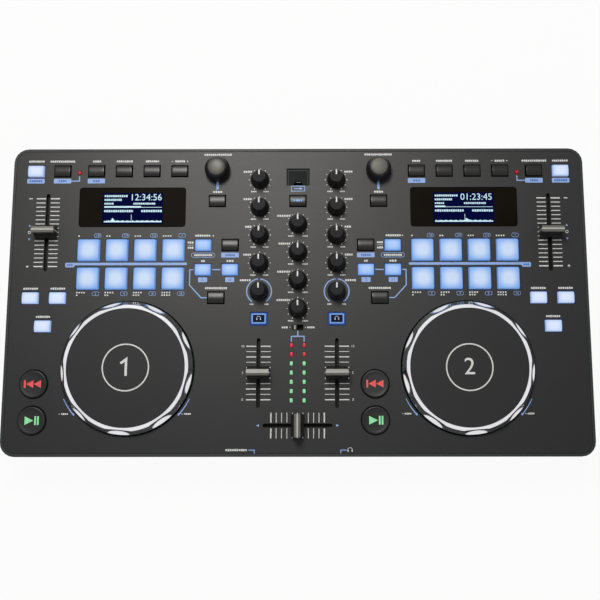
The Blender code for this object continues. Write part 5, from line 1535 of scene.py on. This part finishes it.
class CONTROLLER_OT_displays(PieceOperator, bpy.types.Operator):
    """Finish the display windows and draw plain figures, bars and a level trace on them"""

    bl_idname = "controller.displays"
    bl_label = "Displays"

    def make(self, look):
        colours = look.colours
        ground = lamp("screen_light", tuple(colours.screen), 0.85, 0.0)
        marks = lamp("screen_mark_light", tuple(colours.digits), 0.88)
        for side_name, side in SIDES:
            node = side_name + "_display"
            dress_node(node, window_finish(tuple(colours.window)), 0.00015)
            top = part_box(node)[1].z
            x, y = middle(node)
            x -= 0.0002 * side
            y -= 0.0010
            panel = Print(top)
            width, depth = 0.0530, 0.0277
            panel.bar(x, y, width, depth, 0.0004)
            panel.done(node + "_screen", ground, "root", "display_window")
            sheet = Print(top + PRINT_RISE)
            left, right, upper = x - width / 2 + 0.0016, x + width / 2 - 0.0010, y + depth / 2
            sheet.text("12:34:56" if side < 0 else "01:23:45", 0.0082, right, upper - 0.0042, "RIGHT")
            sheet.dashes(left, upper - 0.0028, 0.0200, 0.0018, -1)
            sheet.dashes(left, upper - 0.0062, 0.0150, 0.0018, -1)
            sheet.dashes(left, upper - 0.0096, 0.0080, 0.0016, -1)
            sheet.dashes(x + 0.0100, upper - 0.0096, 0.0190, 0.0016, 0)
            done = 0.64 if side < 0 else 0.18
            sheet.bar(left + done * (right - left) / 2, upper - 0.0125, done * (right - left), 0.0014)
            sheet.bar((left + right) / 2, upper - 0.0129, right - left, 0.0004)
            sheet.dashes(left, upper - 0.0162, 0.0250, 0.0020, -1)
            sheet.dashes(right, upper - 0.0162, 0.0180, 0.0020, 1)
            sheet.bar(x + side * 0.0010, upper - 0.0218, 0.0004, 0.0050)
            self.add_trace(sheet, left, right, upper - 0.0262, side)
            sheet.done(node + "_marks", marks, "root", "display_window")

    def add_trace(self, sheet, left, right, base, side):
        """A jagged level trace along the bottom, from a sum of waves."""
        steps = 60
        points = [(right, base), (left, base)]
        for step in range(steps + 1):
            share = step / steps
            wave = abs(math.sin(37 * share + side) * math.sin(91 * share)) * 0.0011
            hill = 0.0020 * math.exp(-((share - 0.35 - 0.2 * side) / 0.03) ** 2)
            points.append((left + (right - left) * share, base + 0.0009 + wave + hill))
        sheet.shape(points[::-1])


class CONTROLLER_OT_meter(PieceOperator, bpy.types.Operator):
    """Make the level meter's lenses, the round lamps and the meter switch"""

    bl_idname = "controller.meter"
    bl_label = "Meter, lamps and switch"

    def make(self, look):
        colours = look.colours
        red = lamp("red_lens_light", tuple(colours.red_light), 0.85)
        green = lamp("green_lens_light", tuple(colours.green_light), 0.85)
        for name, material, rows in (("meter_red_lenses", red, range(METER_RED_ROWS)),
                                     ("meter_green_lenses", green, range(METER_RED_ROWS, METER_ROWS))):
            maker = bmesh.new()
            for row in rows:
                for side in (-1, 1):
                    place = (side * METER_X, METER_TOP - row * METER_PITCH)
                    outer = rounded(LED_WIDTH, LED_DEPTH, 0.0004, 3, 1, place)
                    inner = rounded(LED_WIDTH - 0.0004, LED_DEPTH - 0.0004, 0.0003, 3, 1, place)
                    stack(maker, [place_ring(outer, PLATE_TOP - 0.0012),
                                  place_ring(outer, PLATE_TOP + 0.00002),
                                  place_ring(inner, PLATE_TOP + 0.00015)])
            add_piece(name, maker, material, "root")
        deep_red = lamp("round_lamp_light", tuple(colours.lamp_light), 0.85)
        rim_red = lamp("round_lamp_rim", tinted(colours.lamp_light, 0.28), 0.85)
        for side_name, side in SIDES:
            tap_x, tap_y = middle(side_name + "_bpm_tap_key")
            track = row_middles(side_name + "_track_keys", 4, side_name + "_back_key")
            near = track[0][0] if side < 0 else track[-1][0]
            place = ((tap_x + near) / 2, tap_y - LAMP_DROP)
            lens, shoulder = LAMP_RADIUS * 0.68, PLATE_TOP + 0.0010
            profile = [(LAMP_RADIUS, PLATE_TOP - 0.0010), (LAMP_RADIUS, shoulder - 0.0003),
                       (LAMP_RADIUS - 0.0003, shoulder), (lens * 0.8, shoulder)]
            turned_piece(side_name + "_round_lamp_rim", place, profile, 28, rim_red, "root")
            profile = [(lens, shoulder - 0.0001)]
            profile += [(lens * math.cos(turn), shoulder + 0.0004 * math.sin(turn))
                        for turn in (math.pi / 2 * step / 6 for step in range(6))]
            profile.append((lens * 0.05, shoulder + 0.0004))
            turned_piece(side_name + "_round_lamp", place, profile, 28, deep_red, "root")
        self.make_switch(look)

    def make_switch(self, look):
        low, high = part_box("meter_switch")
        maker = bmesh.new()
        x, y = middle("meter_switch")
        size = high - low
        rings = [place_ring(rounded(size.x, size.y, 0.0003, 2, 1, (x, y)), low.z),
                 place_ring(rounded(size.x, size.y, 0.0003, 2, 1, (x, y)), PLATE_TOP),
                 place_ring(rounded(size.x * 0.86, size.y * 0.9, 0.0003, 2, 1, (x, y)), high.z)]
        stack(maker, rings)
        dark = moulded("switch_lever", tuple(look.colours.fader), 0.38, 2200.0, 0.00002, 0.20)
        add_piece("meter_switch_lever", maker, dark, "meter_switch", ("meter_switch",))
        mark = Print(high.z)
        mark.bar(x, y, 0.0006, size.y * 0.8)
        paint = ink("index_paint", tinted(look.colours.white_ink, 0.92))
        mark.done("meter_switch_line", paint, "meter_switch", "fader_cap")


class CONTROLLER_OT_connectors(PieceOperator, bpy.types.Operator):
    """Finish the door and its socket, the front jacks and the rear connectors"""

    bl_idname = "controller.connectors"
    bl_label = "Door and connectors"

    def make(self, look):
        black = moulded("jack_plastic", srgb(20, 20, 21), 0.40, 1500.0, 0.00003, 0.30)
        steel = polished("socket_metal", srgb(150, 150, 152), 0.30, 0.10)
        dim_steel = polished("door_socket_metal", srgb(64, 64, 66), 0.45, 0.10)
        door = moulded("door_plastic", srgb(24, 27, 27), 0.56, 1500.0, 0.00002, 0.05)
        dress_node("usb_door", door, 0.00025)
        self.make_door_shade_line()
        dress_node("usb_socket", dim_steel, 0.0001)
        for name in ("mic_jack", "headphone_jack", "rear_jack_block"):
            dress_node(name, black, 0.00015)
        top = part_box("usb_socket")[1].z
        x, y = middle("usb_socket")
        maker = bmesh.new()
        tongue = rounded(0.0110, 0.0019, 0.0002, 2, 1, (x, y + 0.0008))
        add_slab(maker, tongue, top - 0.0090, top - 0.0009)
        pale = ink("socket_tongue", srgb(222, 222, 216))
        add_piece("usb_socket_tongue", maker, pale, "root")
        self.make_jack_rings(steel)
        self.make_rear(steel)

    def make_door_shade_line(self):
        """A dark line of painted shade inside the door's edge, where a groove would lie in shadow, open where
        the finger notch is.
        """
        low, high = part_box("usb_door")
        inset = 0.0012
        left, right = low.x + inset, high.x - inset
        back, front = high.y - inset * 1.3, low.y + 0.0002
        sheet = Print(high.z)
        # Painted shade: the near-black line stands for the shadow inside the door's groove
        sheet.path([(left, front), (left, back), (right, back), (right, front)], 0.0003)
        sheet.done("usb_door_groove", ink("door_groove", srgb(10, 11, 11)), "usb_door", "door_plastic")

    def make_jack_rings(self, steel):
        """Thin metal collars round the mouths of the front jacks."""
        profile = [(0.0034, 0.0), (0.0050, 0.0), (0.0050, 0.0002), (0.0046, 0.0004), (0.0036, 0.0004),
                   (0.0034, 0.0002)]
        for name in ("mic_jack", "headphone_jack"):
            low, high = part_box(name)
            mouth = (middle(name)[0], low.y + 0.0001, (low.z + high.z) / 2)
            turned_piece(name + "_collar", (0, 0), profile, 40, steel, "root", closed=True,
                         place=Matrix.Translation(mouth) @ LIE_FORWARD)

    def make_rear(self, steel):
        """Sleeves and coloured rings on the phono barrels, and the computer socket's shell and tongue."""
        low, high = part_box("rear_jack_block")
        face = high.y - 0.0080
        middle_z = (low.z + high.z) / 2
        half = (high.x - low.x) / 2
        spacing = 0.0140
        inks = (ink("phono_white", srgb(224, 224, 220)), ink("phono_red", srgb(186, 28, 34)))
        sleeve = [(0.00425, 0.0002), (0.00445, 0.0002), (0.00445, 0.0078), (0.00435, 0.0081),
                  (0.0036, 0.0081), (0.0036, 0.00795), (0.00425, 0.00795)]
        ring = [(0.0018, 0.00795), (0.0035, 0.00795), (0.0035, 0.00825), (0.0018, 0.00825)]
        for index in range(4):
            x = half - spacing / 2 - index * spacing
            turn = Matrix.Translation((x, face, middle_z)) @ Matrix.Rotation(-math.pi / 2, 4, "X")
            for kind, profile, finish in (("sleeve", sleeve, steel), ("ring", ring, inks[index % 2])):
                turned_piece(f"phono_{kind}_{index + 1}", (0, 0), profile, 36, finish, "root",
                             closed=True, place=turn)
        width, height = 0.0086, 0.0080
        x = -half + 0.0060 + width / 2
        outer = rounded(width - 0.0001, height - 0.0001, 0.0003, 2, 1, (x, -middle_z))
        inner = rounded(width - 0.0007, height - 0.0007, 0.0003, 2, 1, (x, -middle_z))
        shell, tongue = bmesh.new(), bmesh.new()
        stack(shell, [place_ring(outer, 0.0), place_ring(outer, 0.0110), place_ring(inner, 0.0110),
                      place_ring(inner, 0.0)], closed=True)
        add_slab(tongue, rounded(0.0056, 0.0030, 0.0003, 2, 1, (x, -middle_z)), 0.0015, 0.0115)
        place = Matrix.Translation((0, face + 0.0002, 0)) @ LIE_FORWARD @ MIRROR_Y
        pale = ink("socket_tongue", srgb(222, 222, 216))
        for kind, maker, finish in (("shell", shell, steel), ("tongue", tongue, pale)):
            bmesh.ops.transform(maker, matrix=place, verts=maker.verts)
            add_piece("computer_socket_" + kind, maker, finish, "root")


class CONTROLLER_OT_underside(PieceOperator, bpy.types.Operator):
    """Make the rubber feet and the screws under the case"""

    bl_idname = "controller.underside"
    bl_label = "Feet and screws"

    def make(self, look):
        rubber = moulded("foot_rubber", srgb(22, 22, 23), 0.62, 1300.0, 0.00006)
        steel = polished("screw_metal", srgb(70, 70, 72), 0.34, 0.10)
        half_x, half_y = CASE_HIGH.x - 0.0300, CASE_HIGH.y - 0.0300
        profile = [(0.0070, 0.00002), (0.0088, 0.00002), (0.0094, 0.0006), (0.0094, 0.0030),
                   (0.0090, 0.0031), (0.0070, 0.0031)]
        maker = bmesh.new()
        for side_x in (-1, 1):
            for side_y in (-1, 1):
                lathe(maker, (side_x * half_x, side_y * half_y), profile, 48, closed=True)
        add_piece("feet_rubber", maker, rubber, "root")
        maker = bmesh.new()
        for share_x in (-0.92, -0.45, 0.45, 0.92):
            for share_y in (-0.90, 0.90):
                place = (share_x * (CASE_HIGH.x - 0.0120), share_y * (CASE_HIGH.y - 0.0120))
                lathe(maker, place, [(0.0030, 0.0030), (0.0030, 0.0024), (0.0026, 0.0020), (0.0012, 0.0020),
                                     (0.0010, 0.0024), (0.0002, 0.0024)], 24)
        add_piece("case_screws", maker, steel, "root")


class CONTROLLER_OT_stage(PieceOperator, bpy.types.Operator):
    """Set the floor, the lamps, the surroundings and the camera"""

    bl_idname = "controller.stage"
    bl_label = "Stage"

    def make(self, look):
        studio = look.studio
        self.make_floor(studio)
        self.make_world(studio)
        place, target = (-0.13, 0.46, 1.02), (-0.03, 0.06, 0.05)
        self.add_lamp("back_lamp", place, target, 0.42, 0.32, studio.key_power)
        card = self.add_lamp("sheen_card", place, target, 0.24, 0.42, studio.card_power)
        card.visible_diffuse = False
        self.make_camera()
        bpy.context.scene.view_settings.view_transform = "Standard"

    def seen(self, graph):
        """1 for rays that should find the white surroundings."""
        path = graph.node("ShaderNodeLightPath", output="Is Camera Ray")
        return (path + path.out("Is Glossy Ray") + path.out("Is Transmission Ray")).smaller(1.0)

    def make_floor(self, studio):
        maker = bmesh.new()
        reach, steps = 4.0, 24
        bmesh.ops.create_grid(maker, x_segments=steps, y_segments=steps, size=reach)
        mesh = bpy.data.meshes.new("floor")
        maker.to_mesh(mesh)
        maker.free()
        floor = bpy.data.objects.new("floor", mesh)
        bpy.context.scene.collection.objects.link(floor)
        graph = Graph("floor_paper")
        paper = graph.noise(graph.place(), 900.0, 3.0)
        shade = graph.mix(paper, srgb(236, 236, 236), srgb(242, 242, 242))
        floor.location.z = -FLOOR_DROP
        plain = graph.node("ShaderNodeBsdfDiffuse", {}, {"Color": shade, "Roughness": 0.9})
        white = graph.node("ShaderNodeEmission", {}, {"Color": (1, 1, 1, 1), "Strength": 1.0})
        share = self.seen(graph) * (0.94 if studio.white_floor else 0.0)
        graph.node_output(graph.node("ShaderNodeMixShader", {}, {0: share, 1: plain, 2: white}))
        mesh.materials.append(graph.material)

    def make_world(self, studio):
        graph = Graph("studio", "worlds")
        strength = self.seen(graph) * (1.0 - studio.ambient) + studio.ambient
        light = graph.node("ShaderNodeBackground", {}, {"Color": (1, 1, 1, 1), "Strength": strength})
        graph.node_output(light, "ShaderNodeOutputWorld")
        bpy.context.scene.world = graph.material

    def add_lamp(self, name, place, target, width, depth, power):
        light = bpy.data.lights.new(name, "AREA")
        light.shape = "RECTANGLE"
        light.size = width
        light.size_y = depth
        light.energy = power
        light.color = (1.0, 0.98, 0.93)
        holder = bpy.data.objects.new(name, light)
        holder.location = place
        holder.rotation_euler = (Vector(target) - Vector(place)).to_track_quat("-Z", "Y").to_euler()
        bpy.context.scene.collection.objects.link(holder)
        return holder

    def make_camera(self):
        """The photograph's view: high over the front half, tipped slightly to the back."""
        picture_width, focal = 600.0, 1012.2
        axis_x, axis_y = 314.9, 234.6
        sensor = 36.0
        camera = bpy.data.cameras.new("camera")
        camera.sensor_width = sensor
        camera.lens = focal / picture_width * sensor
        camera.shift_x = (picture_width / 2 - axis_x) / picture_width
        camera.shift_y = (axis_y - picture_width / 2) / picture_width
        camera.clip_start = 0.05
        holder = bpy.data.objects.new("camera", camera)
        holder.location = (0.0179, -0.1007, PLATE_TOP + 0.8659)
        holder.rotation_euler = (math.radians(10.25), math.radians(0.22), math.radians(-0.06))
        bpy.context.scene.collection.objects.link(holder)
        bpy.context.scene.camera = holder


OPERATORS = (
    CONTROLLER_OT_shell,
    CONTROLLER_OT_print,
    CONTROLLER_OT_small_keys,
    CONTROLLER_OT_headphone_keys,
    CONTROLLER_OT_pads,
    CONTROLLER_OT_round_keys,
    CONTROLLER_OT_knobs,
    CONTROLLER_OT_faders,
    CONTROLLER_OT_jogs,
    CONTROLLER_OT_displays,
    CONTROLLER_OT_meter,
    CONTROLLER_OT_connectors,
    CONTROLLER_OT_underside,
    CONTROLLER_OT_stage,
)


class CONTROLLER_PT_panel(bpy.types.Panel):
    """Buttons for each group of pieces and for the stage"""

    bl_label = "DJ Controller Look"
    bl_idname = "CONTROLLER_PT_panel"
    bl_space_type = "VIEW_3D"
    bl_region_type = "UI"
    bl_category = "Controller"

    def draw(self, context):
        layout = self.layout
        for operator in OPERATORS:
            layout.operator(operator.bl_idname)
        look = context.scene.controller_look
        for group in (look.sizes, look.colours, look.studio):
            box = layout.box()
            for key in group.__annotations__:
                box.prop(group, key)


CLASSES = (ControllerColours, ControllerSizes, StudioSettings, ControllerLook, *OPERATORS,
           CONTROLLER_PT_panel)


def register():
    for item in CLASSES:
        bpy.utils.register_class(item)
    bpy.types.Scene.controller_look = PointerProperty(type=ControllerLook)


def unregister():
    del bpy.types.Scene.controller_look
    for item in reversed(CLASSES):
        bpy.utils.unregister_class(item)


def main():
    register()
    for operator in OPERATORS:
        group, name = operator.bl_idname.split(".")
        getattr(getattr(bpy.ops, group), name)()


if __name__ == "__main__":
    main()
